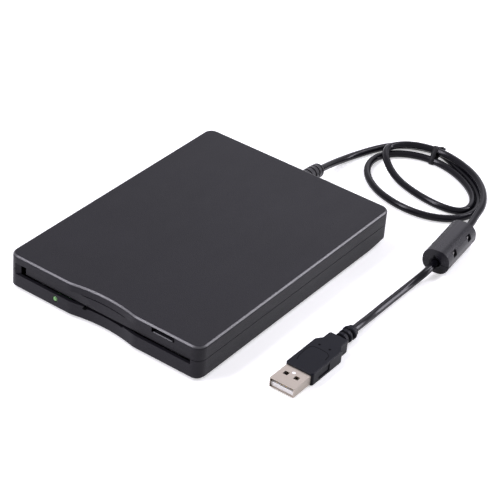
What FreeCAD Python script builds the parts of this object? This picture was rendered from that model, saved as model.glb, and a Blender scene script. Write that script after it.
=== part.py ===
import FreeCAD, Part
import math
import os
import re

import Sketcher

# External floppy disk drive: a slim two-part case round a complete disk mechanism, with its cord.
# +X is to the right of the slot, +Y runs from the slot to the cord, +Z is up. The origin is the centre
# of the case's outline on the surface that the feet stand on. All sizes are in millimetres.

V = FreeCAD.Vector
doc = FreeCAD.newDocument("FloppyDrive")

# Every driving dimension. Heights called level are above the surface that the drive stands on;
# x and y places are measured from the origin.
SIZES = {
    # case shells
    "case_width": 103.0, "case_depth": 141.4, "case_height": 16.6, "foot_height": 0.8,
    "shell_wall": 1.6, "roof_thick": 1.5, "floor_thick": 1.5, "seam_height": 9.4, "seam_reveal": 0.25,
    "corner_radius": 4.5, "top_edge_radius": 1.4, "bottom_edge_bevel": 1.0,
    "wave_depth": 2.1, "wave_half": 17.0, "wave_shoulder": 12.0, "tail_rise": 1.5, "tail_length": 15.0,
    "reveal_depth": 0.5, "tongue_place": 49.3, "tongue_thick": 1.2, "tongue_half": 4.0,
    "tongue_front": 30.0, "tongue_back": 20.0, "tongue_low": 7.4,
    "usb_post_x": 28.0, "usb_post_y": 62.0, "usb_post_radius": 1.6, "foot_edge": 0.3,
    "case_screw_head": 3.8,
    # disk slot, finger notch and slot door
    "slot_left": 45.4, "slot_right": 46.8, "slot_floor": 7.9, "slot_top": 13.5,
    "slot_lead": 2.6, "slot_lead_deep": 1.2, "notch_half": 10.5, "notch_floor": 7.2,
    "door_left": 42.8, "door_right": 46.3, "door_bottom": 9.0, "door_top": 13.1, "door_inset": 1.4,
    "door_thick": 1.2, "door_axis_level": 12.75, "door_axis_inset": 2.4, "door_pin_radius": 0.5,
    "door_pin_reach": 1.2, "door_ear_width": 1.4, "door_ear_radius": 1.0, "door_pin_gap": 0.08,
    "door_spring_radius": 0.82, "door_spring_wire": 0.2, "door_spring_inset": 0.3,
    # eject button and its window
    "button_left": 26.4, "button_right": 38.3, "button_low": 14.3, "button_high": 16.6,
    "button_gap": 0.2, "button_length": 12.4, "button_proud": 0.1, "button_scoop": 2.5,
    "button_edge": 0.35, "button_lip_level": 15.25, "button_heel": 4.3,
    # light
    "led_x": 25.2, "led_level": 5.5, "led_radius": 1.15, "led_gap": 0.2, "led_proud": 0.25,
    "led_flange": 0.7, "led_length": 3.6, "led_board_thick": 1.0, "led_board_half": 4.0,
    "led_board_front": 68.3, "led_board_back": 63.8, "led_rim_thick": 0.8, "led_dome": 0.4, "led_lead_x": 0.9, "led_lead_run": 0.6, "lead_radius": 0.25,
    # feet and screws
    "foot_radius": 4.5, "foot_recess": 0.4, "foot_x": 40.0, "foot_front": 46.0, "foot_back": 44.0,
    "screw_head_radius": 2.2, "screw_head_height": 0.8, "screw_radius": 1.3, "screw_gap": 0.05,
    "screw_end_level": 4.6, "boss_radius": 3.2, "case_screw_x": 43.6, "case_screw_y": 64.6,
    "case_screw_end": 13.0, "case_boss_radius": 2.7, "screw_slot": 0.5,
    # drive frame
    "frame_half": 48.2, "frame_front": 63.0, "frame_back": 58.4, "frame_level": 2.7,
    "frame_plate": 0.8, "frame_wall": 0.8, "frame_boss_top": 4.7, "frame_boss_radius": 2.2, "frame_top": 14.7, "shield_thick": 0.5,
    "shield_front": 57.0, "fit_gap": 0.3, "slide_gap": 0.25,
    # disk and spindle
    "disk_half": 45.0, "disk_front": 66.0, "disk_back": 28.0, "spindle_y": 16.5,
    "bearing_radius": 3.5, "bearing_flange": 5.0, "shaft_radius": 1.5, "running_gap": 0.03,
    "bearing_low": 2.5, "bearing_top": 4.7, "bearing_flange_thick": 0.5, "rotor_radius": 19.0, "rotor_rim": 1.4, "rotor_low": 3.9, "rotor_top": 5.4,
    "rotor_web": 0.5, "stator_outer": 16.6, "stator_core": 7.5, "stator_thick": 0.5, "coil_over": 0.2,
    "stator_poles": 12, "pole_width": 1.8, "coil_width": 3.0, "coil_start": 8.3, "coil_end": 14.4, "shaft_low": 2.6,
    "rotor_boss": 3.0, "tip_bevel": 0.4, "hub_radius": 12.0, "hub_top": 5.9, "tip_radius": 2.0,
    "tip_top": 7.6, "drive_pin_radius": 1.2, "drive_pin_place": 10.2, "drive_pin_top": 7.2,
    # eject slider
    "slider_front": 61.0, "slider_back": 52.0, "slider_level": 13.75, "slider_top": 14.35,
    "slider_rail": 8.4, "slider_half": 47.1, "slider_wall": 0.7, "slider_low": 6.4, "slider_bar": 7.0,
    "slider_tab_front": 62.4, "eject_travel": 5.0, "slider_wall_back": 29.0, "slider_wall_front": 57.0,
    "slider_tab_left": 26.0, "slider_tab_right": 38.6,
    "eject_spring_x": 43.0, "eject_spring_front": 32.2, "eject_spring_back": 49.8,
    "eject_spring_level": 12.3, "eject_spring_radius": 1.1, "eject_spring_wire": 0.3,
    "anchor_half": 1.1, "anchor_thick": 1.0, "spring_gap": 0.05,
    # disk carrier
    "carrier_stop_low": 8.1, "stop_out": 38.0, "stop_in": 26.0, "stop_short": 5.0,
    "carrier_half": 46.0, "carrier_wall": 0.6, "carrier_front": 64.0, "carrier_back": 29.4,
    "carrier_top": 12.8, "carrier_plate": 0.6, "carrier_low": 7.45, "carrier_lip": 8.0,
    "carrier_lip_thick": 0.5, "carrier_drop": 2.4, "window_half": 9.0, "window_front": 2.0,
    "carrier_pin_radius": 0.8, "carrier_pin_level": 10.2, "carrier_pin_front": 48.0,
    "carrier_pin_back": 20.0, "carrier_pin_reach": 1.9, "pin_slot_gap": 0.15,
    # shutter lever
    "lever_x": 36.0, "lever_y": 0.0, "lever_length": 30.0, "lever_rest": 35.0, "lever_swing": 43.0,
    "lever_thick": 0.45, "lever_lift": 0.15, "lever_boss": 3.2, "lever_tip": 1.9,
    "lever_pin_radius": 1.0, "lever_pin_low": 9.2, "stud_radius": 1.0, "stud_top": 14.35,
    "stud_head": 1.6, "stud_head_thick": 0.3, "lever_spring_radius": 1.45, "lever_spring_wire": 0.25,
    "lever_pin_room": 2.7, "lever_slot_half": 1.3,
    # head carriage
    "head_y": 23.0, "rod_x": 11.0, "rod_level": 6.0, "rod_radius": 1.2,
    "rod_front": 28.6, "rod_post": 1.6, "rod_post_half": 2.0, "rod_post_over": 0.8,
    "carriage_nose_front": 19.0, "carriage_nose_half": 6.5, "carriage_nose_low": 4.2,
    "carriage_nose_top": 5.2, "carriage_back": 56.4, "carriage_block_length": 11.0,
    "carriage_half": 14.0, "carriage_low": 4.1, "carriage_top": 8.0,
    "lower_head_half": 2.6, "lower_head_top": 7.3, "arm_pivot_y": 51.0, "arm_pivot_level": 10.5,
    "arm_pivot_radius": 0.8, "arm_half": 4.6, "arm_tip_half": 3.2, "arm_flare": 16.0, "arm_level": 13.6,
    "arm_thick": 0.6, "arm_barrel": 1.5, "barrel_half": 2.4, "tower_half": 7.2, "tower_wall": 1.8,
    "tower_reach": 2.5, "upper_head_half": 2.6, "upper_head_low": 12.1, "arm_spring_radius": 1.3,
    "arm_spring_wire": 0.3, "flag_reach": 4.6, "flag_half": 1.0, "flag_thick": 0.6, "flag_room": 0.5,
    # stepper and lead screw
    "screw_x": 24.0, "screw_level": 9.0, "lead_screw_radius": 1.5, "screw_bracket_front": 29.8,
    "bracket_thick": 0.9, "bracket_half": 4.0, "bracket_near_over": 2.5, "stepper_radius": 5.0,
    "stepper_front": 49.2, "stepper_back": 58.2, "journal_radius": 0.75, "journal_depth": 3.0,
    "follower_gap": 0.25, "follower_thick": 1.8, "follower_radius": 3.0, "follower_high": 2.0,
    # switches
    "switch_x": 40.5, "switch_y": 57.0, "disk_switch_x": 33.0, "switch_half": 2.6, "switch_well_low": 3.55,
    "switch_top": 4.9, "switch_pin_radius": 0.8, "switch_pin_low": 4.6, "switch_pin_top": 6.6,
    "lip_hole": 1.5,
    # boards and ribbon
    "board_thick": 0.8, "drive_board_left": 16.6, "drive_board_right": 46.0,
    "drive_board_front": 33.0, "drive_board_back": 57.0, "standoff_radius": 1.5, "standoff_inset": 2.5,
    "drive_board_level": 5.0, "drive_chip_x": 37.0, "drive_chip_y": 41.0, "drive_chip_half": 4.5,
    "small_chip_x": 27.0, "small_chip_y": 50.0, "small_chip_half": 2.5,
    "usb_board_half": 32.0, "usb_board_front": 59.6, "usb_board_back": 68.0, "usb_board_level": 5.0,
    "chip_half": 3.5, "chip_thick": 1.1, "usb_chip_x": 13.0, "usb_chip_y": 64.0, "crystal_x": 24.0,
    "crystal_half": 2.5, "crystal_radius": 1.1, "connector_half": 4.0, "connector_in": 0.6,
    "connector_deep": 3.0, "connector_high": 6.6, "ribbon_left": 19.0, "ribbon_right": 30.0,
    "ribbon_margin": 0.6, "ribbon_thick": 0.3, "ribbon_socket": 1.2, "ribbon_socket_high": 1.5,
    "sensor_x": 18.9, "sensor_half": 2.0, "sensor_top": 9.8, "sensor_back": 0.8,
    # cord, coil and strain relief
    "cord_radius": 1.75, "relief_x": 1.5, "relief_level": 10.2, "relief_neck": 3.5, "relief_flange": 4.3,
    "relief_flange_thick": 1.2, "relief_end": 2.9, "relief_straight": 1.6, "relief_rib": 0.8,
    "relief_grooves": 4, "relief_groove": 0.9, "relief_groove_start": 3.9, "relief_groove_pitch": 3.1,
    "coil_outer_x": 41.4, "coil_outer_y": 121.55, "coil_outer_long": 31.25, "coil_outer_short": 24.65,
    "coil_outer_turn": -20.0, "coil_inner_x": 40.4, "coil_inner_y": 126.0, "coil_inner_long": 27.95,
    "coil_inner_short": 14.6, "coil_inner_turn": -20.0, "coil_height": 7.0, "coil_bevel": 1.2,
    "tie_x": 30.1, "tie_y": 146.6, "tie_turn": -78.0, "tie_across": 13.2, "tie_wide": 2.4, "tie_thick": 0.6,
    "tie_sunk": 0.15, "tie_tail_x": 2.0, "tie_tail_length": 4.2, "tie_tail_radius": 0.8, "tie_tail_lift": 1.0,
    # ferrite clamp
    "ferrite_x": 81.28, "ferrite_y": 63.4, "ferrite_turn": 6.5, "ferrite_length": 28.8,
    "ferrite_width": 13.0, "ferrite_height": 11.8, "ferrite_level": 5.0, "ferrite_round": 5.2, "ferrite_wall": 1.5,
    "ferrite_end": 2.0, "ferrite_bore": 2.0, "ferrite_mouth": 3.0, "ferrite_mouth_deep": 1.2,
    "ferrite_gap": 0.1, "hinge_out": 0.4, "knuckle_radius": 0.8, "knuckle_start": 5.2, "knuckle_end": 8.6,
    "hinge_pin_radius": 0.35, "latch_inset": 6.8, "latch_half": 1.6, "latch_deep": 2.6, "latch_cover": 1.5, "latch_skin": 0.6,
    "latch_low": 2.4, "latch_high": 5.2, "catch_high": 4.2,
    # plug
    "plug_x": 80.3, "plug_front": 41.0, "plug_width": 13.8, "plug_height": 6.2, "plug_length": 21.4,
    "plug_tail_length": 8.1, "plug_tail_width": 9.6, "plug_shoulder": 2.8, "plug_round": 1.2,
    "plug_edge": 0.35,
    "plug_collar": 2.7, "plug_collar_length": 10.4, "plug_ring": 0.35, "plug_rings": 3,
    "plug_ring_start": 1.4, "plug_ring_pitch": 3.0, "plug_ring_wide": 1.6, "plug_shell_width": 12.0,
    "plug_shell_height": 4.5, "plug_shell_length": 12.0, "plug_shell_wall": 0.3, "plug_shell_depth": 3.0,
    "plug_hole": 2.2, "plug_hole_x": 2.6, "plug_hole_ahead": 4.2, "tongue_height": 1.95,
    "tongue_back": 0.9, "contact_width": 1.0, "contact_thick": 0.12, "contact_back": 0.8,
    "contact_length": 8.0, "contact_inner": 1.0, "contact_outer": 3.5, "grip_length": 8.0,
    "grip_start": 4.6, "grip_depth": 0.4, "grip_high": 3.6,
}

sheet = doc.addObject("Spreadsheet::Sheet", "Sizes")
for row, (alias, amount) in enumerate(SIZES.items(), start=1):
    sheet.set(f"A{row}", alias.replace("_", " "))
    sheet.set(f"B{row}", str(amount))
    sheet.setAlias(f"B{row}", alias)
doc.recompute()

FRONT, BACK = "-case_depth / 2", "case_depth / 2"
UNDER, TOP = "foot_height", "foot_height + case_height"
SEAM = "foot_height + seam_height"
FLOOR, ROOF = "foot_height + floor_thick", "foot_height + case_height - roof_thick"
WAVE_RADIUS = "(wave_half ^ 2 + wave_depth ^ 2) / (2 * wave_depth)"


def size(alias):
    """A driving dimension as the sheet holds it."""
    return float(sheet.get(alias))


def rule(text):
    """An expression with the sheet's name in front of each alias."""
    return re.sub(r"[a-z]\w*", lambda word: "Sizes." + word[0] if word[0] in SIZES else word[0], text)


def span(pair):
    return f"({pair[1]}) - ({pair[0]})"


def minus(text):
    return f"-({text})"


def bind(thing, **rules):
    for prop, text in rules.items():
        thing.setExpression(prop, rule(text))
    return thing


def place(thing, x="0", y="0", z="0"):
    for axis, text in (("x", x), ("y", y), ("z", z)):
        thing.setExpression("Placement.Base." + axis, rule(text))
    return thing


def block(name, x, y, z):
    """A box between three pairs of expressions."""
    box = doc.addObject("Part::Box", name)
    bind(box, Length=span(x), Width=span(y), Height=span(z))
    return place(box, x[0], y[0], z[0])


def disc(name, x, y, z, radius):
    """An upright cylinder between a pair of levels."""
    drum = doc.addObject("Part::Cylinder", name)
    bind(drum, Radius=radius, Height=span(z))
    return place(drum, x, y, z[0])


def rod(name, along, x, y, z, radius):
    """A lying cylinder; the coordinate along its axis is a pair of expressions."""
    drum = doc.addObject("Part::Cylinder", name)
    turned = {"x": (V(0, 1, 0), 90), "y": (V(1, 0, 0), -90)}[along]
    drum.Placement = FreeCAD.Placement(V(), FreeCAD.Rotation(*turned))
    pair = x if along == "x" else y
    bind(drum, Radius=radius, Height=span(pair))
    return place(drum, x[0] if along == "x" else x, y[0] if along == "y" else y, z)


def join(name, *pieces):
    whole = doc.addObject("Part::MultiFuse", name)
    whole.Shapes = list(pieces)
    whole.Refine = True
    return whole


def cut(name, base, *tools):
    made = doc.addObject("Part::Cut", name)
    made.Base = base
    made.Tool = tools[0] if len(tools) == 1 else join(name + "_tools", *tools)
    made.Refine = True
    return made


def common(name, first, second):
    made = doc.addObject("Part::Common", name)
    made.Base, made.Tool = first, second
    return made


def mirrored(name, source, normal=V(1, 0, 0)):
    """The same shape on the other side of a plane through the origin."""
    made = doc.addObject("Part::Mirroring", name)
    made.Source, made.Normal = source, normal
    return made


def solid(name, shape):
    """A sub-part whose shape is made with Part's own functions."""
    made = doc.addObject("Part::Feature", name)
    made.Shape = shape
    return made


NODES = []


def node(name, thing):
    """Mark a finished sub-part; its Label names its file."""
    thing.Label = name
    NODES.append(thing)
    return thing


def origin_plane(body, role):
    return next(plane for plane in body.Origin.OriginFeatures if plane.Role == role)


def sketch(body, name, role, level="0"):
    """An empty sketch on a plane of the body's own origin, moved along that plane's normal."""
    made = body.newObject("Sketcher::SketchObject", name)
    made.AttachmentSupport = [(origin_plane(body, role), "")]
    made.MapMode = "FlatFace"
    made.setExpression("AttachmentOffset.Base.z", rule(level))
    return made


def locate(drawing, element, end, x, y, start):
    """Fix a point of the sketch by its distances from the origin."""
    for kind, text, first in (("DistanceX", x, start.x), ("DistanceY", y, start.y)):
        number = drawing.addConstraint(Sketcher.Constraint(kind, -1, 1, element, end, first))
        label = f"{kind}_{element}_{end}"
        drawing.renameConstraint(number, label)
        drawing.setExpression("Constraints." + label, rule(text))


def polygon(drawing, points):
    """A closed outline of straight lines through pairs of expressions."""
    first = drawing.GeometryCount
    count = len(points)
    spots = [V(math.cos(2 * math.pi * i / count), math.sin(2 * math.pi * i / count)) for i in range(count)]
    for a, b in zip(spots, spots[1:] + spots[:1]):
        drawing.addGeometry(Part.LineSegment(a, b))
    for i in range(count):
        drawing.addConstraint(Sketcher.Constraint("Coincident", first + i, 2, first + (i + 1) % count, 1))
    for i, (x, y) in enumerate(points):
        locate(drawing, first + i, 1, x, y, spots[i])


def rectangle(drawing, x, y):
    polygon(drawing, [(x[0], y[0]), (x[1], y[0]), (x[1], y[1]), (x[0], y[1])])


def circle(drawing, x, y, radius):
    number = drawing.addGeometry(Part.Circle(V(1, 1), V(0, 0, 1), 1))
    locate(drawing, number, 3, x, y, V(1, 1))
    limit = drawing.addConstraint(Sketcher.Constraint("Radius", number, 1.0))
    drawing.renameConstraint(limit, f"Radius_{number}")
    drawing.setExpression(f"Constraints.Radius_{number}", rule(radius))


def pad(body, drawing, name, length):
    made = body.newObject("PartDesign::Pad", name)
    made.Profile = drawing
    made.setExpression("Length", rule(length))
    return made


def pocket(body, drawing, name, length, upward=False):
    made = body.newObject("PartDesign::Pocket", name)
    made.Profile = drawing
    made.Reversed = upward
    made.setExpression("Length", rule(length))
    return made


def edge_names(shape, wanted):
    """The names of the edges that a test on an edge accepts."""
    return [f"Edge{i}" for i, edge in enumerate(shape.Edges, start=1) if wanted(edge)]


def round_edges(body, name, radius, wanted):
    """A fillet of the body's edges that a test accepts, on the shape as it stands."""
    doc.recompute()
    base = body.Tip
    made = body.newObject("PartDesign::Fillet", name)
    made.Base = (base, edge_names(base.Shape, wanted))
    made.setExpression("Radius", rule(radius))
    return made


def bevel_edges(body, name, width, wanted):
    """A chamfer of the body's edges that a test accepts, on the shape as it stands."""
    doc.recompute()
    base = body.Tip
    made = body.newObject("PartDesign::Chamfer", name)
    made.Base = (base, edge_names(base.Shape, wanted))
    made.setExpression("Size", rule(width))
    return made


def upright(edge):
    box = edge.BoundBox
    return box.XLength + box.YLength < 0.01 < box.ZLength


def at_level(level):
    """A test for edges that lie wholly at one height."""
    return lambda edge: abs(edge.BoundBox.ZMin - level) < 0.01 and abs(edge.BoundBox.ZMax - level) < 0.01


def case_block(name, inset, low, high):
    """The case's outline, moved in by a distance and filled between two heights."""
    body = doc.addObject("PartDesign::Body", name)
    plan = sketch(body, name + "_plan", "XY_Plane", low)
    side = f"case_width / 2 - ({inset})"
    end = f"case_depth / 2 - ({inset})"
    rectangle(plan, (minus(side), side), (minus(end), end))
    pad(body, plan, name + "_pad", span((low, high)))
    wave = sketch(body, name + "_wave", "XY_Plane", low)
    circle(wave, "0", f"{FRONT} + wave_depth - {WAVE_RADIUS}", f"{WAVE_RADIUS} + ({inset})")
    pocket(body, wave, name + "_wave_cut", span((low, high)), upward=True)
    rise = sketch(body, name + "_rise", "YZ_Plane", minus("case_width"))
    polygon(rise, [(f"{BACK} - tail_length", low), (f"{BACK} + tail_length", low),
                   (f"{BACK} + tail_length", f"{low} + 2 * tail_rise")])
    pocket(body, rise, name + "_rise_cut", "2 * case_width", upward=True)
    half, front, back = size("case_width") / 2, -size("case_depth") / 2, size("case_depth") / 2
    round_edges(body, name + "_corners", f"corner_radius - ({inset})",
                lambda edge: upright(edge) and abs(edge.BoundBox.XMin) > half - size("corner_radius"))
    round_edges(body, name + "_shoulders", f"wave_shoulder - ({inset})",
                lambda edge: upright(edge) and abs(edge.BoundBox.XMin) < size("wave_half") + 2
                and edge.BoundBox.YMin < front + 5)
    return body


# ---------------------------------------------------------------- case

case_outer = case_block("case_outer", "0", UNDER, TOP)
round_edges(case_outer, "case_outer_top", "top_edge_radius", at_level(size("foot_height") + size("case_height")))
crease = size("case_depth") / 2 - size("tail_length")
underside = size("foot_height") + size("tail_rise")
bevel_edges(case_outer, "case_outer_bottom", "bottom_edge_bevel",
            lambda edge: edge.BoundBox.ZMax < underside + 0.05
            and not (edge.BoundBox.YLength < 0.01 and abs(edge.BoundBox.YMin - crease) < 0.05))
case_inner = case_block("case_inner", "shell_wall", FLOOR, ROOF)
case_shell = cut("case_shell", case_outer, case_inner)

AROUND = ("-case_width", "case_width"), ("-case_depth", "case_depth")
upper_shell = common("upper_shell", case_shell, block("upper_zone", *AROUND, (SEAM, "2 * case_height")))
lower_shell = common("lower_shell", case_shell, block("lower_zone", *AROUND, ("0", SEAM)))
reveal_core = case_block("reveal_core", "reveal_depth", SEAM, f"{SEAM} + seam_reveal")
reveal = cut("reveal", block("reveal_zone", *AROUND, (SEAM, f"{SEAM} + seam_reveal")), reveal_core)

FACE = (f"{FRONT} - 1", f"{FRONT} + 6")


def at_front(inset):
    return f"{FRONT} + {inset}"


slot = block("disk_slot", ("-slot_left", "slot_right"), FACE, ("slot_floor", "slot_top"))
# the front face falls away towards the slot's left end
slot_lead = doc.addObject("PartDesign::Body", "slot_lead")
lead_plan = sketch(slot_lead, "slot_lead_plan", "XY_Plane", "slot_floor")
polygon(lead_plan, [("-slot_left - slot_lead", FACE[0]), ("-slot_left + slot_lead", FACE[0]),
                    ("-slot_left + slot_lead", at_front("slot_lead_deep")), ("-slot_left", at_front("slot_lead_deep")),
                    ("-slot_left - slot_lead", FRONT)])
pad(slot_lead, lead_plan, "slot_lead_pad", "slot_top - slot_floor")
notch = block("finger_notch", ("-notch_half", "notch_half"), FACE, ("notch_floor", "slot_top"))
BUTTON_BACK = at_front("button_proud + button_length")
channel = block("button_channel", ("button_left", "button_right"),
                (f"{FRONT} - 1", f"{BUTTON_BACK} + fit_gap"), ("button_low", "button_high"))
light_hole = rod("light_hole", "y", "-led_x", FACE, "led_level", "led_radius + led_gap")


def corners(prefix, x, front, back, make):
    """Four pieces, left and right, at a front and a back place."""
    made = []
    for side, sign in (("left", "-"), ("right", "")):
        for end, y in (("front", front), ("back", back)):
            made.append(make(f"{prefix}_{end}_{side}", sign + x, y))
    return made


SCREWS = "foot_x", "-foot_front", "foot_back"
recesses = corners("foot_recess", *SCREWS, lambda name, x, y: disc(
    name, x, y, ("0", f"{UNDER} + foot_recess"), "foot_radius"))
HEAD = f"{UNDER} + foot_recess"
heads = corners("screw_seat", *SCREWS, lambda name, x, y: disc(
    name, x, y, ("0", f"{HEAD} + screw_head_height"), "screw_head_radius + screw_gap"))
bores = corners("screw_bore", *SCREWS, lambda name, x, y: disc(
    name, x, y, ("0", "screw_end_level"), "screw_radius"))
bosses = corners("frame_boss", *SCREWS, lambda name, x, y: disc(
    name, x, y, (f"{FLOOR} - 0.2", "frame_level"), "boss_radius"))

# two long screws near the back hold the top cover down
REAR = (("left", "-case_screw_x"), ("right", "case_screw_x"))
rear_bosses = [disc(f"lower_boss_{side}", x, "case_screw_y", (f"{FLOOR} + 0.3", SEAM), "case_boss_radius + 0.5")
               for side, x in REAR]
rear_seats = [disc(f"lower_seat_{side}", x, "case_screw_y", ("0", "case_screw_head + screw_head_height"),
                   "screw_head_radius + screw_gap") for side, x in REAR]
rear_bores = [disc(f"lower_bore_{side}", x, "case_screw_y", ("0", "2 * case_screw_end"), "screw_radius")
              for side, x in REAR]
upper_bosses = [disc(f"upper_boss_{side}", x, "case_screw_y", (SEAM, f"{ROOF} + 0.2"), "case_boss_radius")
                for side, x in REAR]
upper_bores = [disc(f"upper_bore_{side}", x, "case_screw_y", ("0", "case_screw_end"), "screw_radius")
               for side, x in REAR]

# tongues of the top cover reach down inside the side walls of the bottom cover
WALL_IN = "case_width / 2 - shell_wall"
tongues = corners("tongue", "tongue_place", "-tongue_front", "tongue_back", lambda name, x, y: block(
    name, (f"{x} - tongue_thick / 2", f"{x} + tongue_thick / 2"),
    (f"{y} - tongue_half", f"{y} + tongue_half"), ("tongue_low", f"{SEAM} + 2")))
posts = [disc(f"usb_post_{side}", x, "usb_post_y", (f"{FLOOR} + 0.1", "usb_board_level"), "usb_post_radius")
         for side, x in (("left", "-usb_post_x"), ("right", "usb_post_x"))]

# the door's pins turn in two ears that hang from the roof, beyond the ends of the slot
DOOR_Y = at_front("door_axis_inset")


def ear(name, x):
    web = block(name + "_web", x, (f"{DOOR_Y} - door_ear_radius", f"{DOOR_Y} + door_ear_radius"),
                ("door_axis_level", f"{ROOF} + 0.2"))
    eye = rod(name + "_eye", "x", x, DOOR_Y, "door_axis_level", "door_ear_radius")
    bore = rod(name + "_bore", "x", x, DOOR_Y, "door_axis_level", "door_pin_radius + door_pin_gap")
    return cut(name, join(name + "_solid", web, eye), bore)


left_ear = ear("left_ear", ("-slot_left - door_ear_width", "-slot_left"))
right_ear = ear("right_ear", ("slot_right", "slot_right + door_ear_width"))

CORD_HOLE = rod("cord_hole", "y", "relief_x", (f"{BACK} - 5", f"{BACK} + 5"), "relief_level", "relief_neck")
top_body = join("top_body", upper_shell, *upper_bosses, *tongues)
top_cut = cut("top_cut", top_body, slot, slot_lead, channel, CORD_HOLE, reveal, *upper_bores)
top_cover = node("top_cover", join("top_cover", top_cut, left_ear, right_ear))

bottom_body = join("bottom_body", lower_shell, *bosses, *rear_bosses, *posts)
bottom_cover = node("bottom_cover", cut("bottom_cover", bottom_body, slot, slot_lead, notch, light_hole, CORD_HOLE,
                                        *recesses, *heads, *bores, *rear_seats, *rear_bores))


def foot(name, x, y):
    """A rubber disc with a bevelled lower rim."""
    body = doc.addObject("PartDesign::Body", name)
    plan = sketch(body, name + "_plan", "XY_Plane")
    circle(plan, "0", "0", "foot_radius")
    pad(body, plan, name + "_pad", f"{UNDER} + foot_recess")
    bevel_edges(body, name + "_rim", "foot_edge", at_level(0))
    place(body, x, y)
    return node(name, body)


corners("foot", *SCREWS, foot)


def screw(name, x, y, head, end):
    """A pan-head screw driven upward, with a plain slot across its head."""
    whole = join(name + "_solid", disc(name + "_head", x, y, (head, f"{head} + screw_head_height"),
                                       "screw_head_radius"),
                 disc(name + "_shank", x, y, (head, end), "screw_radius"))
    groove = block(name + "_groove", (f"{x} - screw_head_radius", f"{x} + screw_head_radius"),
                   (f"{y} - screw_slot / 2", f"{y} + screw_slot / 2"), (f"{head} - 1", f"{head} + screw_slot / 2"))
    return cut(name, whole, groove)


node("drive_screws", join("drive_screws", *corners("drive_screw", *SCREWS, lambda name, x, y: screw(
    name, x, y, HEAD, "screw_end_level"))))
node("case_screws", join("case_screws", *[screw(f"case_screw_{side}", x, "case_screw_y", "case_screw_head",
                                                "case_screw_end") for side, x in REAR]))

# ---------------------------------------------------------------- slot door

DOOR = ("-door_left", "door_right")
door_plate = block("door_plate", DOOR, (at_front("door_inset"), at_front("door_inset + door_thick")),
                   ("door_bottom", "door_top"))
# the middle of the plate leans back to follow the wave of the case
door_wave = doc.addObject("Part::Cylinder", "door_wave")
bind(door_wave, Radius=WAVE_RADIUS, Height="4 * door_top")
door_wave.Placement = FreeCAD.Placement(V(), FreeCAD.Rotation(V(1, 0, 0), 0))
LEAN = "atan((wave_depth - door_inset) / (door_top - door_bottom))"
door_wave.setExpression("Placement.Rotation.Angle", rule(LEAN))
door_wave.Placement.Rotation.Axis = V(-1, 0, 0)
place(door_wave, "0", f"{FRONT} + door_inset - {WAVE_RADIUS} / cos({LEAN})", "door_bottom")
door_pins = [rod(f"door_pin_{side}", "x", pair, DOOR_Y, "door_axis_level", "door_pin_radius") for side, pair in (
    ("left", ("-slot_left - door_pin_reach", "-door_left")), ("right", ("door_right", "slot_right + door_pin_reach")))]
slot_door = node("slot_door", join("slot_door", cut("door_leaf", door_plate, door_wave), *door_pins))

spring_x = ("-slot_left + door_spring_inset", "-door_left - door_spring_inset")
spring_outer = rod("door_spring_outer", "x", spring_x, DOOR_Y, "door_axis_level", "door_spring_radius")
spring_inner = rod("door_spring_inner", "x", (spring_x[0] + " - 1", spring_x[1] + " + 1"), DOOR_Y,
                   "door_axis_level", "door_spring_radius - door_spring_wire")
spring_leg = block("door_spring_leg", (spring_x[0], f"{spring_x[0]} + door_spring_wire"),
                   (f"{DOOR_Y} + door_spring_radius - door_spring_wire", f"{DOOR_Y} + door_spring_radius"),
                   ("door_axis_level", ROOF))
node("door_spring", join("door_spring", cut("door_spring_coil", spring_outer, spring_inner), spring_leg))

# ---------------------------------------------------------------- eject button

button = doc.addObject("PartDesign::Body", "eject_button")
side_view = sketch(button, "button_side", "YZ_Plane", "button_left + button_gap")
B_FRONT, B_LOW, B_TOP = at_front("-button_proud"), "button_low + button_gap", "button_high - button_gap"
polygon(side_view, [(B_FRONT, B_LOW), (f"{BUTTON_BACK} - button_heel", B_LOW),
                    (f"{BUTTON_BACK} - button_heel", "slider_top"), (BUTTON_BACK, "slider_top"),
                    (BUTTON_BACK, B_TOP), (B_FRONT, B_TOP)])
pad(button, side_view, "button_pad", "button_right - button_left - 2 * button_gap")
scoop = sketch(button, "button_scoop_side", "YZ_Plane", "button_left + button_gap + button_edge")
SCOOP = "((button_scoop ^ 2 + (button_high - button_gap - button_lip_level) ^ 2) / (2 * button_scoop))"
circle(scoop, f"{B_FRONT} + button_scoop - {SCOOP}", B_TOP, SCOOP)
pocket(button, scoop, "button_scoop_cut", "button_right - button_left - 2 * button_gap - 2 * button_edge",
       upward=True)
node("eject_button", button)

# ---------------------------------------------------------------- light

LED_FRONT, LED_WALL = at_front("-led_proud"), at_front("shell_wall")
LED_BACK = at_front("led_length - led_proud")
lens = doc.addObject("PartDesign::Body", "lens_body")
profile = sketch(lens, "lens_side", "XZ_Plane", "0")
circle(profile, "0", "0", "led_radius")
pad(lens, profile, "lens_pad", "led_length")
bevel_edges(lens, "lens_dome", "led_dome", lambda edge: abs(edge.BoundBox.YMin + size("led_length")) < 0.01)
place(lens, "-led_x", LED_BACK, "led_level")
flange = rod("lens_flange", "y", "-led_x", (LED_WALL, f"{LED_WALL} + led_rim_thick"), "led_level",
             "led_radius + led_flange")
node("light_lens", join("light_lens", lens, flange))

LEAD_Y = f"{LED_BACK} + led_lead_run"
BOARD_TOP = f"{FLOOR} + led_board_thick"
leads = []
for side, x in (("left", "-led_x - led_lead_x"), ("right", "-led_x + led_lead_x")):
    leads += [rod(f"lead_run_{side}", "y", x, (LED_BACK, LEAD_Y), "led_level", "lead_radius"),
              disc(f"lead_drop_{side}", x, LEAD_Y, (BOARD_TOP, "led_level + lead_radius"), "lead_radius")]
node("light_board", join("light_board", *leads, block(
    "light_plate", ("-led_x - led_board_half", "-led_x + led_board_half"), ("-led_board_front", "-led_board_back"),
    (FLOOR, BOARD_TOP))))

# ---------------------------------------------------------------- drive frame

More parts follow.
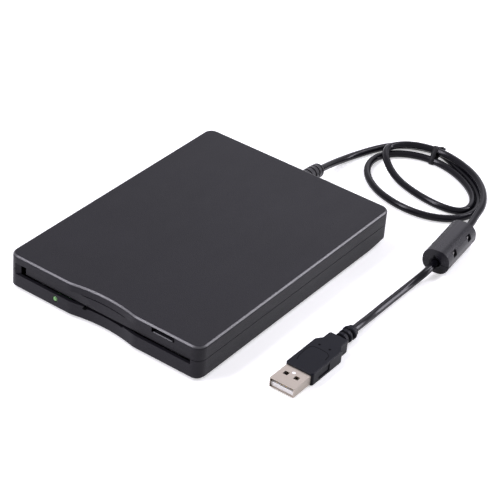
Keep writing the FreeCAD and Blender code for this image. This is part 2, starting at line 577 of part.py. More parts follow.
PLATE_TOP = "frame_level + frame_plate"
FRAME = ("-frame_front", "frame_back")


def turned(name, outline, x="0", y="0"):
    """A body of revolution about an upright axis, from (radius, height) pairs."""
    body = doc.addObject("PartDesign::Body", name)
    half = sketch(body, name + "_profile", "XZ_Plane")
    polygon(half, outline)
    spin = body.newObject("PartDesign::Revolution", name + "_turn")
    spin.Profile = half
    spin.ReferenceAxis = (half, ["V_Axis"])
    spin.Angle = 360
    return place(body, x, y)


def plate(name, outline, level, thick):
    """A flat piece with a straight-sided outline."""
    body = doc.addObject("PartDesign::Body", name)
    plan = sketch(body, name + "_plan", "XY_Plane", level)
    polygon(plan, outline)
    pad(body, plan, name + "_pad", thick)
    return body


def both(name, left_and_right):
    """A piece made once for x and once for minus x."""
    return [left_and_right(name + "_left", "-1"), left_and_right(name + "_right", "1")]


def side_block(x, y, z):
    """A box given for the right-hand side, made on either side."""
    def make(name, sign):
        pair = x if sign == "1" else (minus(x[1]), minus(x[0]))
        return block(name, pair, y, z)
    return make


frame_walls = both("frame_wall", side_block(("frame_half - frame_wall", "frame_half"), FRAME,
                                            ("frame_level", "frame_top")))
pin_gaps = [block(f"pin_gap_{end}", ("-case_width", "case_width"),
                  (f"{y} - carrier_pin_radius - pin_slot_gap", f"{y} + carrier_pin_radius + pin_slot_gap"),
                  ("carrier_pin_level - carrier_drop - carrier_pin_radius - pin_slot_gap", "2 * frame_top"))
            for end, y in (("front", "-carrier_pin_front"), ("back", "carrier_pin_back"))]
screw_bosses = corners("screw_boss", *SCREWS, lambda name, x, y: disc(
    name, x, y, (PLATE_TOP, "frame_boss_top"), "frame_boss_radius"))
screw_holes = corners("screw_hole", *SCREWS, lambda name, x, y: disc(
    name, x, y, ("0", "frame_boss_top + 1"), "screw_radius"))
rod_posts = [post for end, y in (("front", ("rod_front", "rod_front + rod_post")),
                                 ("back", ("frame_back - rod_post", "frame_back")))
             for post in both(f"rod_post_{end}", side_block(("rod_x - rod_post_half", "rod_x + rod_post_half"), y,
                                                            (PLATE_TOP, "rod_level + rod_radius + rod_post_over")))]
guide_rods = [rod(f"guide_rod_{side}", "y", x, ("rod_front", "frame_back"), "rod_level", "rod_radius")
              for side, x in (("left", "-rod_x"), ("right", "rod_x"))]
standoffs = [disc(f"standoff_{i}", x, y, (PLATE_TOP, "drive_board_level"), "standoff_radius")
             for i, (x, y) in enumerate([(f"drive_board_{sx} {px} standoff_inset", f"drive_board_{sy} {py} standoff_inset")
                                         for sx, px in (("left", "+"), ("right", "-"))
                                         for sy, py in (("front", "+"), ("back", "-"))])]
anchors = both("spring_anchor", side_block(("eject_spring_x - anchor_half", "frame_half - frame_wall"),
                                           ("eject_spring_front - anchor_thick", "eject_spring_front"),
                                           ("eject_spring_level - anchor_half", "eject_spring_level + anchor_half")))
bearing_hole = disc("bearing_hole", "0", "-spindle_y", ("0", PLATE_TOP + " + 1"), "bearing_radius")
frame_body = join("frame_body", block("frame_plate", ("-frame_half", "frame_half"), FRAME, ("frame_level", PLATE_TOP)),
                  *frame_walls, *screw_bosses, *rod_posts, *standoffs, *anchors)
node("drive_frame", cut("drive_frame", frame_body, bearing_hole, *pin_gaps, *screw_holes, *guide_rods))
node("guide_rods", join("guide_rods", *guide_rods))
node("drive_shield", block("drive_shield", ("-frame_half", "frame_half"), ("-shield_front", "frame_back"),
                           ("frame_top", "frame_top + shield_thick")))

# ---------------------------------------------------------------- spindle

FLANGE_TOP = PLATE_TOP + " + bearing_flange_thick"
BORE = "shaft_radius + running_gap"
node("spindle_bearing", turned("spindle_bearing", [
    (BORE, "bearing_low"), ("bearing_radius", "bearing_low"), ("bearing_radius", PLATE_TOP),
    ("bearing_flange", PLATE_TOP), ("bearing_flange", FLANGE_TOP), ("bearing_radius", FLANGE_TOP),
    ("bearing_radius", "bearing_top"), (BORE, "bearing_top")], y="-spindle_y"))

stator = doc.addObject("PartDesign::Body", "stator")
ring_plan = sketch(stator, "stator_ring_plan", "XY_Plane", FLANGE_TOP)
circle(ring_plan, "0", "0", "stator_core")
circle(ring_plan, "0", "0", "bearing_radius")
pad(stator, ring_plan, "stator_ring", "stator_thick")
pole_plan = sketch(stator, "stator_pole_plan", "XY_Plane", FLANGE_TOP)
rectangle(pole_plan, ("stator_core - 1", "stator_outer"), ("-pole_width / 2", "pole_width / 2"))
pole = pad(stator, pole_plan, "stator_pole", "stator_thick")


def around(body, name, source, drawing):
    pattern = body.newObject("PartDesign::PolarPattern", name)
    pattern.Originals = [source]
    pattern.Axis = (drawing, ["N_Axis"])
    pattern.Angle = 360
    pattern.setExpression("Occurrences", rule("stator_poles"))
    body.Tip = pattern


around(stator, "stator_poles_all", pole, pole_plan)
node("stator_core", place(stator, y="-spindle_y"))
windings = doc.addObject("PartDesign::Body", "windings")
coil_plan = sketch(windings, "winding_plan", "XY_Plane", FLANGE_TOP + " - coil_over")
rectangle(coil_plan, ("coil_start", "coil_end"), ("-coil_width / 2", "coil_width / 2"))
winding = pad(windings, coil_plan, "winding", "stator_thick + 2 * coil_over")
around(windings, "windings_all", winding, coil_plan)
node("stator_windings", cut("stator_windings", place(windings, y="-spindle_y"), stator))

RIM_IN = "rotor_radius - rotor_rim"
WEB_LOW = "rotor_top - rotor_web"
node("spindle_rotor", turned("spindle_rotor", [
    ("0", "shaft_low"), ("shaft_radius", "shaft_low"), ("shaft_radius", "bearing_top + running_gap"),
    ("rotor_boss", "bearing_top + running_gap"), ("rotor_boss", WEB_LOW), (RIM_IN, WEB_LOW),
    (RIM_IN, "rotor_low"), ("rotor_radius", "rotor_low"), ("rotor_radius", "rotor_top"), ("0", "rotor_top")],
    y="-spindle_y"))
hub = turned("hub_disc", [
    ("0", "rotor_top"), ("hub_radius", "rotor_top"), ("hub_radius", "hub_top"), ("tip_radius", "hub_top"),
    ("tip_radius", "tip_top - tip_bevel"), ("tip_radius - tip_bevel", "tip_top"), ("0", "tip_top")],
    y="-spindle_y")
node("spindle_hub", join("spindle_hub", hub, disc("drive_pin", "drive_pin_place", "-spindle_y",
                                                  ("hub_top", "drive_pin_top"), "drive_pin_radius")))

# ---------------------------------------------------------------- eject slider

STRIP = "slider_half - slider_rail"
slider_plate = plate("slider_plate", [
    ("-slider_half", "-slider_front"), ("slider_tab_left", "-slider_front"),
    ("slider_tab_left", "-slider_tab_front"), ("slider_tab_right", "-slider_tab_front"),
    ("slider_tab_right", "-slider_front"), ("slider_half", "-slider_front"), ("slider_half", "slider_back"),
    (STRIP, "slider_back"), (STRIP, "slider_bar - slider_front"), (minus(STRIP), "slider_bar - slider_front"),
    (minus(STRIP), "slider_back"), ("-slider_half", "slider_back")],
    "slider_level", "slider_top - slider_level")
slider_walls = both("slider_wall", side_block(("slider_half - slider_wall", "slider_half"),
                                              ("-slider_wall_front", "slider_wall_back"),
                                              ("slider_low", "slider_top")))
slider_hooks = both("slider_hook", side_block(("eject_spring_x - anchor_half", "eject_spring_x + anchor_half"),
                                              ("eject_spring_back", "eject_spring_back + anchor_thick"),
                                              ("eject_spring_level - anchor_half", "slider_top")))
PIN_SLOT = "carrier_pin_radius + pin_slot_gap"
RAMP = "sqrt(eject_travel ^ 2 + carrier_drop ^ 2)"
WIDE = ("-case_width", "case_width")


def ramp(name, y):
    """A round-ended slot that falls by the carrier's drop over the slider's travel."""
    ends = [rod(f"{name}_top", "x", WIDE, y, "carrier_pin_level", PIN_SLOT),
            rod(f"{name}_foot", "x", WIDE, f"{y} + eject_travel", "carrier_pin_level - carrier_drop", PIN_SLOT)]
    run = doc.addObject("Part::Box", name + "_run")
    bind(run, Length="2 * case_width", Width=RAMP, Height=f"2 * ({PIN_SLOT})")
    run.Placement = FreeCAD.Placement(V(), FreeCAD.Rotation(V(-1, 0, 0), 1))
    run.setExpression("Placement.Rotation.Angle", rule("atan(carrier_drop / eject_travel)"))
    place(run, "-case_width", f"{y} - ({PIN_SLOT}) * carrier_drop / {RAMP}",
          f"carrier_pin_level - ({PIN_SLOT}) * eject_travel / {RAMP}")
    return ends + [run]


node("eject_slider", cut("eject_slider", join("slider_solid", slider_plate, *slider_walls, *slider_hooks),
                         *ramp("front_ramp", "-carrier_pin_front"), *ramp("back_ramp", "carrier_pin_back")))


def lying_tube(name, along, x, y, z, outer, inner):
    return cut(name, rod(name + "_outside", along, x, y, z, outer), rod(name + "_inside", along, x, y, z, inner))


SPRING_RUN = ("eject_spring_front", "eject_spring_back - spring_gap")
node("eject_springs", join("eject_springs", *[lying_tube(
    f"eject_spring_{side}", "y", x, SPRING_RUN, "eject_spring_level", "eject_spring_radius",
    "eject_spring_radius - eject_spring_wire") for side, x in (("left", "-eject_spring_x"), ("right", "eject_spring_x"))]))

# ---------------------------------------------------------------- disk carrier

CARRIER = ("-carrier_front", "carrier_back")
carrier_sides = both("carrier_side", side_block(("carrier_half - carrier_wall", "carrier_half"), CARRIER,
                                                ("carrier_low", "carrier_top")))
carrier_lips = both("carrier_lip_rail", side_block(("carrier_half - carrier_lip", "carrier_half"), CARRIER,
                                                   ("carrier_low", "carrier_low + carrier_lip_thick")))
carrier_stops = [block(f"carrier_stop_{side}", x, ("carrier_back - carrier_wall", "carrier_back"),
                       ("carrier_stop_low", "carrier_top"))
                 for side, x in (("left", ("-stop_out", "-stop_in")), ("right", ("stop_out - stop_short", "stop_out")))]
head_window = block("head_window", ("-window_half", "window_half"), ("window_front", "2 * carrier_back"),
                    ("carrier_low", "2 * carrier_top"))
lip_holes = [disc(f"lip_hole_{side}", x, "-switch_y", ("0", "carrier_low + 2 * carrier_lip_thick"), "lip_hole")
             for side, x in (("left", "-switch_x"), ("right", "switch_x"))]


def sector(name, radius):
    """A quarter-like wedge about the lever's pivot, over the swing of its pin."""
    drum = disc(name, "lever_x", "lever_y", ("carrier_low", "2 * carrier_top"), radius)
    drum.setExpression("Angle", rule("90 - lever_rest + lever_pin_room"))
    drum.setExpression("Placement.Rotation.Angle", "90")
    return drum


pin_arc = cut("pin_arc", sector("pin_arc_outer", "lever_length + lever_slot_half"),
              sector("pin_arc_inner", "lever_length - lever_slot_half"))
carrier_top = block("carrier_roof", ("-carrier_half", "carrier_half"), CARRIER,
                    ("carrier_top - carrier_plate", "carrier_top"))
node("disk_carrier", cut("disk_carrier", join("carrier_solid", carrier_top, *carrier_sides, *carrier_lips,
                                              *carrier_stops), head_window, pin_arc, *lip_holes))
stud = join("lever_stud", disc("stud_shank", "lever_x", "lever_y", ("carrier_top", "stud_top"), "stud_radius"),
            disc("stud_head", "lever_x", "lever_y", ("stud_top - stud_head_thick", "stud_top"), "stud_head"))
node("carrier_pins", join("carrier_pins", stud, *[
    pin for end, y in (("front", "-carrier_pin_front"), ("back", "carrier_pin_back"))
    for pin in (rod(f"carrier_pin_{end}_left", "x", ("-carrier_half - carrier_pin_reach", "-carrier_half"), y,
                    "carrier_pin_level", "carrier_pin_radius"),
                rod(f"carrier_pin_{end}_right", "x", ("carrier_half", "carrier_half + carrier_pin_reach"), y,
                    "carrier_pin_level", "carrier_pin_radius"))]))

# ---------------------------------------------------------------- shutter lever

LEVER_LOW = "carrier_top + lever_lift"
LEVER_TOP = "carrier_top + lever_lift + lever_thick"
lever_bar = plate("lever_bar", [("0", "-lever_boss"), ("0", "lever_boss"), ("-lever_length", "lever_tip"),
                                ("-lever_length", "-lever_tip")], LEVER_LOW, "lever_thick")
lever_solid = join("lever_solid", lever_bar, disc("lever_eye", "0", "0", (LEVER_LOW, LEVER_TOP), "lever_boss"),
                   disc("lever_end", "-lever_length", "0", (LEVER_LOW, LEVER_TOP), "lever_tip"),
                   disc("lever_pin", "-lever_length", "0", ("lever_pin_low", LEVER_TOP), "lever_pin_radius"))
lever = cut("shutter_lever", lever_solid, disc("lever_bore", "0", "0", ("0", "2 * carrier_top"),
                                               "stud_radius + running_gap"))
lever.Placement = FreeCAD.Placement(V(), FreeCAD.Rotation(V(0, 0, -1), 1))
lever.setExpression("Placement.Rotation.Angle", rule("lever_rest"))
node("shutter_lever", place(lever, "lever_x", "lever_y"))
SPRING_LEVELS = (LEVER_TOP + " + spring_gap", "stud_top - stud_head_thick")
node("lever_spring", cut("lever_spring", disc("lever_spring_outer", "lever_x", "lever_y", SPRING_LEVELS, "lever_spring_radius"),
                         disc("lever_spring_inner", "lever_x", "lever_y", SPRING_LEVELS,
                              "lever_spring_radius - lever_spring_wire")))

# ---------------------------------------------------------------- head carriage

BLOCK_Y = ("carriage_back - carriage_block_length", "carriage_back")
NOSE_Y = ("carriage_nose_front", "carriage_back - carriage_block_length")
PIVOT_Y = "arm_pivot_y"
TOWER_Y = (f"{PIVOT_Y} - tower_reach", f"{PIVOT_Y} + tower_reach")
towers = both("arm_tower", side_block(("tower_half - tower_wall", "tower_half"), TOWER_Y,
                                      ("carriage_top", "arm_pivot_level + arm_barrel")))
carriage_body = join(
    "carriage_body", block("carriage_block", ("-carriage_half", "carriage_half"), BLOCK_Y,
                           ("carriage_low", "carriage_top")),
    block("carriage_nose", ("-carriage_nose_half", "carriage_nose_half"), NOSE_Y,
          ("carriage_nose_low", "carriage_nose_top")), *towers,
    block("sensor_flag", ("carriage_half", "carriage_half + flag_reach"),
          (f"{PIVOT_Y} - flag_half", f"{PIVOT_Y} + flag_half"), ("carriage_top - flag_thick", "carriage_top")))
rod_bores = [rod(f"rod_bore_{side}", "y", x, ("rod_front", "frame_back"), "rod_level", "rod_radius + running_gap")
             for side, x in (("left", "-rod_x"), ("right", "rod_x"))]
pivot_pin = rod("arm_pin", "x", ("-tower_half", "tower_half"), PIVOT_Y, "arm_pivot_level", "arm_pivot_radius")
node("head_carriage", cut("head_carriage", carriage_body, *rod_bores, pivot_pin))
node("arm_pin", pivot_pin)
node("lower_head", block("lower_head", ("-lower_head_half", "lower_head_half"),
                         ("head_y - lower_head_half", "head_y + lower_head_half"),
                         ("carriage_nose_top", "lower_head_top")))

ARM_TOP = "arm_level + arm_thick"
arm_plate = plate("arm_plate", [
    ("-arm_tip_half", "head_y - upper_head_half"), ("arm_tip_half", "head_y - upper_head_half"),
    ("arm_half", f"{PIVOT_Y} - arm_flare"), ("arm_half", f"{PIVOT_Y} + arm_barrel"),
    ("-arm_half", f"{PIVOT_Y} + arm_barrel"), ("-arm_half", f"{PIVOT_Y} - arm_flare")], "arm_level", "arm_thick")
ARM_X = ("-barrel_half", "barrel_half")
arm_body = join("arm_body", arm_plate,
                block("arm_web", ARM_X, (f"{PIVOT_Y} - arm_barrel", f"{PIVOT_Y} + arm_barrel"),
                      ("arm_pivot_level", "arm_level")),
                rod("arm_barrel", "x", ARM_X, PIVOT_Y, "arm_pivot_level", "arm_barrel"))
node("upper_arm", cut("upper_arm", arm_body, rod("arm_bore", "x", ARM_X, PIVOT_Y, "arm_pivot_level",
                                                 "arm_pivot_radius + running_gap")))
node("upper_head", block("upper_head", ("-upper_head_half", "upper_head_half"),
                         ("head_y - upper_head_half", "head_y + upper_head_half"), ("upper_head_low", "arm_level")))
ARM_SPRING_X = ("barrel_half + spring_gap", "tower_half - tower_wall")
arm_spring = lying_tube("arm_spring_coil", "x", ARM_SPRING_X, PIVOT_Y, "arm_pivot_level", "arm_spring_radius",
                        "arm_spring_radius - arm_spring_wire")
arm_spring_leg = block("arm_spring_leg", ("tower_half - tower_wall - arm_spring_wire", "tower_half - tower_wall"),
                       (f"{PIVOT_Y} + arm_spring_radius - arm_spring_wire", f"{PIVOT_Y} + arm_spring_radius"),
                       ("carriage_top", "arm_pivot_level"))
node("arm_spring", join("arm_spring", arm_spring, arm_spring_leg))

# ---------------------------------------------------------------- stepper motor and lead screw

NEAR = ("screw_bracket_front", "screw_bracket_front + bracket_thick")
FAR = ("stepper_front - bracket_thick", "stepper_front")
BRACKET_X = ("-screw_x - bracket_half", "-screw_x + bracket_half")
journal_hole = rod("journal_hole", "y", "-screw_x", ("screw_bracket_front", "stepper_front + journal_depth"),
                   "screw_level", "journal_radius + running_gap")
bracket_body = join("bracket_body",
                    block("bracket_base", BRACKET_X, (NEAR[0], FAR[1]), (PLATE_TOP, PLATE_TOP + " + bracket_thick")),
                    block("bracket_near", BRACKET_X, NEAR, (PLATE_TOP, "screw_level + bracket_near_over")),
                    block("bracket_far", BRACKET_X, FAR, (PLATE_TOP, "screw_level + bracket_half")))
node("screw_bracket", cut("screw_bracket", bracket_body, journal_hole))
node("stepper_motor", cut("stepper_motor", rod("stepper_can", "y", "-screw_x", ("stepper_front", "stepper_back"),
                                               "screw_level", "stepper_radius"), journal_hole))
THREAD = (f"{NEAR[1]} + spring_gap", f"{FAR[0]} - spring_gap")
node("lead_screw", join("lead_screw", rod("screw_thread", "y", "-screw_x", THREAD, "screw_level", "lead_screw_radius"),
                        rod("screw_journal", "y", "-screw_x", (NEAR[0], "stepper_front + journal_depth - spring_gap"),
                            "screw_level", "journal_radius")))
FOLLOWER = (f"{FAR[0]} - slide_gap - follower_thick", f"{FAR[0]} - slide_gap")
follower_body = join("follower_body",
                     block("follower_arm", ("-screw_x", "-carriage_half"), FOLLOWER,
                           ("carriage_top - follower_high", "carriage_top")),
                     rod("follower_nut", "y", "-screw_x", FOLLOWER, "screw_level", "follower_radius"))
node("screw_follower", cut("screw_follower", follower_body, rod("follower_bore", "y", "-screw_x", FOLLOWER,
                                                                "screw_level", "lead_screw_radius + follower_gap")))

# ---------------------------------------------------------------- switches

SWITCHES = {"write_protect_pin": "-switch_x", "density_pin": "switch_x", "disk_in_pin": "-disk_switch_x"}
wells = {name: disc(name + "_well", x, "-switch_y", ("switch_well_low", "switch_top"),
                    "switch_pin_radius + running_gap") for name, x in SWITCHES.items()}
node("switch_bodies", join("switch_bodies", *[
    cut(f"{name}_body", block(f"{name}_case", (f"{x} - switch_half", f"{x} + switch_half"),
                              ("-switch_y - switch_half", "-switch_y + switch_half"), (PLATE_TOP, "switch_top")),
        wells[name]) for name, x in SWITCHES.items()]))
for name, x in SWITCHES.items():
    node(name, disc(name, x, "-switch_y", ("switch_pin_low", "switch_pin_top"), "switch_pin_radius"))

# ---------------------------------------------------------------- boards

BOARD_FACE = "drive_board_level + board_thick"
node("drive_board", block("drive_board", ("drive_board_left", "drive_board_right"),
                          ("drive_board_front", "drive_board_back"), ("drive_board_level", BOARD_FACE)))


def chip(name, x, y, half, high):
    return block(name, (f"{x} - {half}", f"{x} + {half}"), (f"{y} - {half}", f"{y} + {half}"),
                 (BOARD_FACE, f"{BOARD_FACE} + {high}"))


node("board_chips", join("board_chips",
                         chip("drive_chip_big", "drive_chip_x", "drive_chip_y", "drive_chip_half", "chip_thick"),
                         chip("drive_chip_small", "small_chip_x", "small_chip_y", "small_chip_half", "chip_thick"),
                         chip("usb_chip", "-usb_chip_x", "usb_chip_y", "chip_half", "chip_thick")))
sensor = block("sensor_body", ("sensor_x - sensor_half", "sensor_x + sensor_half"),
               (f"{PIVOT_Y} - sensor_half", f"{PIVOT_Y} + sensor_half"), (BOARD_FACE, "sensor_top"))
sensor_gap = block("sensor_gap", ("carriage_half", "sensor_x + sensor_half - sensor_back"),
                   (f"{PIVOT_Y} - 2 * sensor_half", f"{PIVOT_Y} + 2 * sensor_half"),
                   ("carriage_top - flag_thick - flag_room", "carriage_top + flag_room"))
node("track_sensor", cut("track_sensor", sensor, sensor_gap))
node("usb_board", block("usb_board", ("-usb_board_half", "usb_board_half"), ("usb_board_front", "usb_board_back"),
                        ("usb_board_level", BOARD_FACE)))
SOCKET_X = ("ribbon_left - ribbon_margin", "ribbon_right + ribbon_margin")
SOCKET_TOP = f"{BOARD_FACE} + ribbon_socket_high"
cord_connector = block("cord_connector", ("relief_x - connector_half", "relief_x + connector_half"),
                       ("usb_board_front + connector_in", "usb_board_front + connector_in + connector_deep"),
                       (BOARD_FACE, f"{BOARD_FACE} + connector_high"))
node("board_sockets", join("board_sockets", cord_connector,
                           block("drive_socket", SOCKET_X, ("drive_board_back - ribbon_socket", "drive_board_back"),
                                 (BOARD_FACE, SOCKET_TOP)),
                           block("usb_socket", SOCKET_X, ("usb_board_front", "usb_board_front + ribbon_socket"),
                                 (BOARD_FACE, SOCKET_TOP))))
RIBBON_Y = "(drive_board_back + usb_board_front) / 2"
RIBBON_RADIUS = "(usb_board_front - drive_board_back + ribbon_socket) / 2"
RIBBON_X = ("ribbon_left", "ribbon_right")
arch = lying_tube("ribbon_tube", "x", RIBBON_X, RIBBON_Y, SOCKET_TOP, RIBBON_RADIUS, RIBBON_RADIUS + " - ribbon_thick")
node("ribbon_cable", common("ribbon_cable", arch, block(
    "ribbon_half", RIBBON_X, (f"{RIBBON_Y} - 2 * ({RIBBON_RADIUS})", f"{RIBBON_Y} + 2 * ({RIBBON_RADIUS})"),
    (SOCKET_TOP, f"{SOCKET_TOP} + 2 * ({RIBBON_RADIUS})"))))

# ---------------------------------------------------------------- cord


def route(points):
    """Straight runs joined by arcs; each arc takes nearly half of the shorter run beside its corner."""
    edges, start, tightest = [], points[0], math.inf
    for before, corner, after in zip(points, points[1:], points[2:]):
        back, on = before - corner, after - corner
        reach = 0.45 * min(back.Length, on.Length)
        half_turn = (math.pi - back.getAngle(on)) / 2
        radius = reach / math.tan(half_turn)
        tightest = min(tightest, radius)
        back, on = back.normalize(), on.normalize()
        into, out = corner + back * reach, corner + on * reach
        middle = corner + (back + on).normalize() * (radius / math.cos(half_turn) - radius)
        edges += [Part.LineSegment(start, into).toShape(), Part.Arc(into, middle, out).toShape()]
        start = out
    return edges + [Part.LineSegment(start, points[-1]).toShape()], tightest


def pipe(edges, radius):
    """Cylinders and ring sections along straight and round edges, joined into one round bar."""
    runs = []
    for edge in edges:
        start, along = edge.valueAt(edge.FirstParameter), edge.tangentAt(edge.FirstParameter)
        if isinstance(edge.Curve, Part.Line):
            runs.append(Part.makeCylinder(radius, edge.Length, start, along))
        else:
            face = Part.Face(Part.Wire(Part.Circle(start, along, radius).toShape()))
            turn = math.degrees(edge.Length / edge.Curve.Radius)
            runs.append(face.revolve(edge.Curve.Center, edge.Curve.Axis, turn))
    return runs[0].multiFuse(runs[1:]).removeSplitter()


def tube(points, radius):
    """A round cord along a route, with the tightest arc of its centre line."""
    edges, tightest = route(points)
    return pipe(edges, radius), tightest


CORD_RADIUS = size("cord_radius")
LYING = CORD_RADIUS
EXIT_LEVEL = size("relief_level")
FERRITE_LEVEL = size("ferrite_level")
PLUG_LEVEL = size("plug_height") / 2
CORD_INNER = size("usb_board_front") + size("connector_in") + size("connector_deep")
PLUG_TAIL = size("plug_length") + size("plug_tail_length") - size("plug_front")
PLUG_LINE = size("plug_x")

# from the board out through the back wall, down to the table and round into the coil
CASE_END = [V(1.5, CORD_INNER, EXIT_LEVEL), V(1.5, 79.5, EXIT_LEVEL), V(-2.6, 110.3, LYING), V(5.2, 134.2, LYING),
            V(13.0, 144.9, LYING), V(22.6, 149.9, LYING), V(31.4, 150.9, LYING), V(38.6, 148.9, LYING)]
# out of the coil, straight through the ferrite and on to the plug
PLUG_END = [V(67.8, 126.5, 5.1), V(73.4, 115.5, 5.1), V(77.0, 101.0, FERRITE_LEVEL), V(81.9, 58.0, FERRITE_LEVEL),
            V(79.6, 47.0, LYING), V(79.5, 26.0, LYING), V(79.6, 14.0, LYING), V(PLUG_LINE, 5.0, PLUG_LEVEL),
            V(PLUG_LINE, PLUG_TAIL, PLUG_LEVEL)]
case_tube, case_bend = tube(CASE_END, CORD_RADIUS)
plug_tube, plug_bend = tube(PLUG_END, CORD_RADIUS)
node("cord_plug_end", solid("cord_plug_end", plug_tube))
print(f"tightest bends of the cord: case end {case_bend:.1f}, plug end {plug_bend:.1f}")


def oval(prefix, grow):
    """A standing prism over an ellipse, grown by a distance, as high as the coil."""
    long, short = size(prefix + "_long") + grow, size(prefix + "_short") + grow
    curve = Part.Ellipse(V(), long, short).toShape()
    curve.Placement = FreeCAD.Placement(V(size(prefix + "_x"), size(prefix + "_y")),
                                        FreeCAD.Rotation(V(0, 0, 1), size(prefix + "_turn")))
    return Part.Face(Part.Wire(curve)).extrude(V(0, 0, size("coil_height")))


# the bundled turns of the coil as one closed form
coil_ring = oval("coil_outer", CORD_RADIUS).cut(oval("coil_inner", -CORD_RADIUS))
rims = [edge for edge in coil_ring.Edges if edge.BoundBox.ZLength < 0.01]
coil_form = solid("coil_form", coil_ring.makeChamfer(size("coil_bevel"), rims))

# a twist tie round the bundle, its two ends twisted together above it
tie_band = cut("tie_band", block("tie_outside", ("-tie_across / 2", "tie_across / 2"), ("-tie_wide / 2", "tie_wide / 2"),
                                 ("0", "coil_height + tie_thick - tie_sunk")),
               block("tie_inside", ("tie_thick - tie_across / 2", "tie_across / 2 - tie_thick"),
                     ("-tie_wide", "tie_wide"), ("tie_thick", "coil_height - tie_sunk")))
tie_ends = [rod(f"tie_end_{i}", "y", f"tie_tail_x + {i} * 1.5 * tie_tail_radius", ("-tie_wide / 2", f"tie_tail_length - {i}"),
                "coil_height + tie_tail_lift", "tie_tail_radius") for i in (0, 1)]


def on_tie(thing):
    """Turn a piece made square to the axes across the bundle, at the tie's place."""
    thing.Placement = FreeCAD.Placement(V(), FreeCAD.Rotation(V(0, 0, 1), 1))
    thing.setExpression("Placement.Rotation.Angle", rule("tie_turn"))
    return place(thing, "tie_x", "tie_y")


on_tie(tie_band)
node("cord_tie", join("cord_tie", tie_band, on_tie(join("tie_twist", *tie_ends))))
first_end = cut("cord_case_end", solid("case_end_tube", case_tube), tie_band)
first_end.Refine = False
node("cord_case_end", first_end)
coil = cut("cord_coil", coil_form, tie_band)
coil.Refine = False
node("cord_coil", coil)

# ---------------------------------------------------------------- strain relief


def relief_shape():
    """A sleeve that follows the cord, with a flange inside the wall, grooves across it and a narrower end."""
    bend = route(CASE_END)[0][1]
    start, end = V(CASE_END[0].x, size("case_depth") / 2 - size("shell_wall"), EXIT_LEVEL), bend.valueAt(bend.LastParameter)
    onward = bend.tangentAt(bend.LastParameter)
    leaving = Part.LineSegment(start, bend.valueAt(bend.FirstParameter)).toShape()
    sleeve = pipe([leaving, bend], size("relief_neck"))
    sleeve = sleeve.fuse(Part.makeCylinder(size("relief_end"), size("relief_straight"), end, onward))
    flange = Part.makeCylinder(size("relief_flange"), size("relief_flange_thick"),
                               start - V(0, size("relief_flange_thick"), 0), V(0, 1, 0))
    sleeve = sleeve.fuse(flange)
    for i in range(int(size("relief_grooves"))):
        along = size("relief_groove_start") + i * size("relief_groove_pitch")
        near = bend.valueAt(bend.getParameterByLength(min(along, bend.Length - 0.01)))
        facing = bend.tangentAt(bend.getParameterByLength(min(along, bend.Length - 0.01)))
        near += facing * max(0, along - bend.Length)
        outer = Part.makeCylinder(2 * size("relief_neck"), size("relief_groove"), near, facing)
        inner = Part.makeCylinder(size("relief_neck") - size("relief_rib"), size("relief_groove"), near, facing)
        sleeve = sleeve.cut(outer.cut(inner))
    return sleeve.cut(case_tube).removeSplitter()


node("strain_relief", solid("strain_relief", relief_shape()))

# ---------------------------------------------------------------- ferrite clamp

HALF_WIDE = "ferrite_width / 2"
MID = "ferrite_level"
LONG = ("0", "ferrite_length")
ferrite_form = doc.addObject("PartDesign::Body", "ferrite_form")
ferrite_plan = sketch(ferrite_form, "ferrite_plan", "XY_Plane")
rectangle(ferrite_plan, (minus(HALF_WIDE), HALF_WIDE), LONG)
pad(ferrite_form, ferrite_plan, "ferrite_pad", "ferrite_height")
round_edges(ferrite_form, "ferrite_round", "ferrite_round",
            lambda edge: edge.BoundBox.YLength > 5 and edge.BoundBox.XLength + edge.BoundBox.ZLength < 0.01)
LOWER_Z, UPPER_Z = ("-ferrite_height", MID), (f"{MID} + ferrite_gap", "2 * ferrite_height")
ZONE = ("-2 * ferrite_width", "2 * ferrite_width"), ("-ferrite_length", "2 * ferrite_length")
CAVITY = ("ferrite_end", "ferrite_length - ferrite_end")
HINGE_X = f"-({HALF_WIDE}) - hinge_out"
HINGE_Z = f"{MID} + ferrite_gap / 2"
LID_KNUCKLE = ("knuckle_end + ferrite_gap", "ferrite_length - knuckle_end - ferrite_gap")
LOWER_KNUCKLES = (("knuckle_start", "knuckle_end"), ("ferrite_length - knuckle_end", "ferrite_length - knuckle_start"))
cavity = rod("core_cavity", "y", "0", CAVITY, MID, f"{MID} - ferrite_wall")
cord_way = rod("cord_way", "y", "0", LONG, MID, "ferrite_bore")


def mouth(name, y, facing):
    cone = doc.addObject("Part::Cone", name)
    bind(cone, Radius1="ferrite_mouth", Radius2="ferrite_bore", Height="ferrite_mouth_deep")
    cone.Placement = FreeCAD.Placement(V(), FreeCAD.Rotation(V(1, 0, 0), facing))
    return place(cone, "0", y, MID)


mouths = [mouth("near_mouth", "0", -90), mouth("far_mouth", "ferrite_length", 90)]


def knuckle(name, y, extra="0"):
    return rod(name, "y", HINGE_X, y, HINGE_Z, f"knuckle_radius + {extra}")


hinge_pin = rod("hinge_pin", "y", HINGE_X, ("knuckle_start", "ferrite_length - knuckle_start"), HINGE_Z, "hinge_pin_radius")
hinge_bore = rod("hinge_bore", "y", HINGE_X, LONG, HINGE_Z, "hinge_pin_radius + running_gap")


def at_latches(prefix, make):
    return [make(f"{prefix}_{end}", y) for end, y in (("near", "latch_inset"), ("far", "ferrite_length - latch_inset"))]


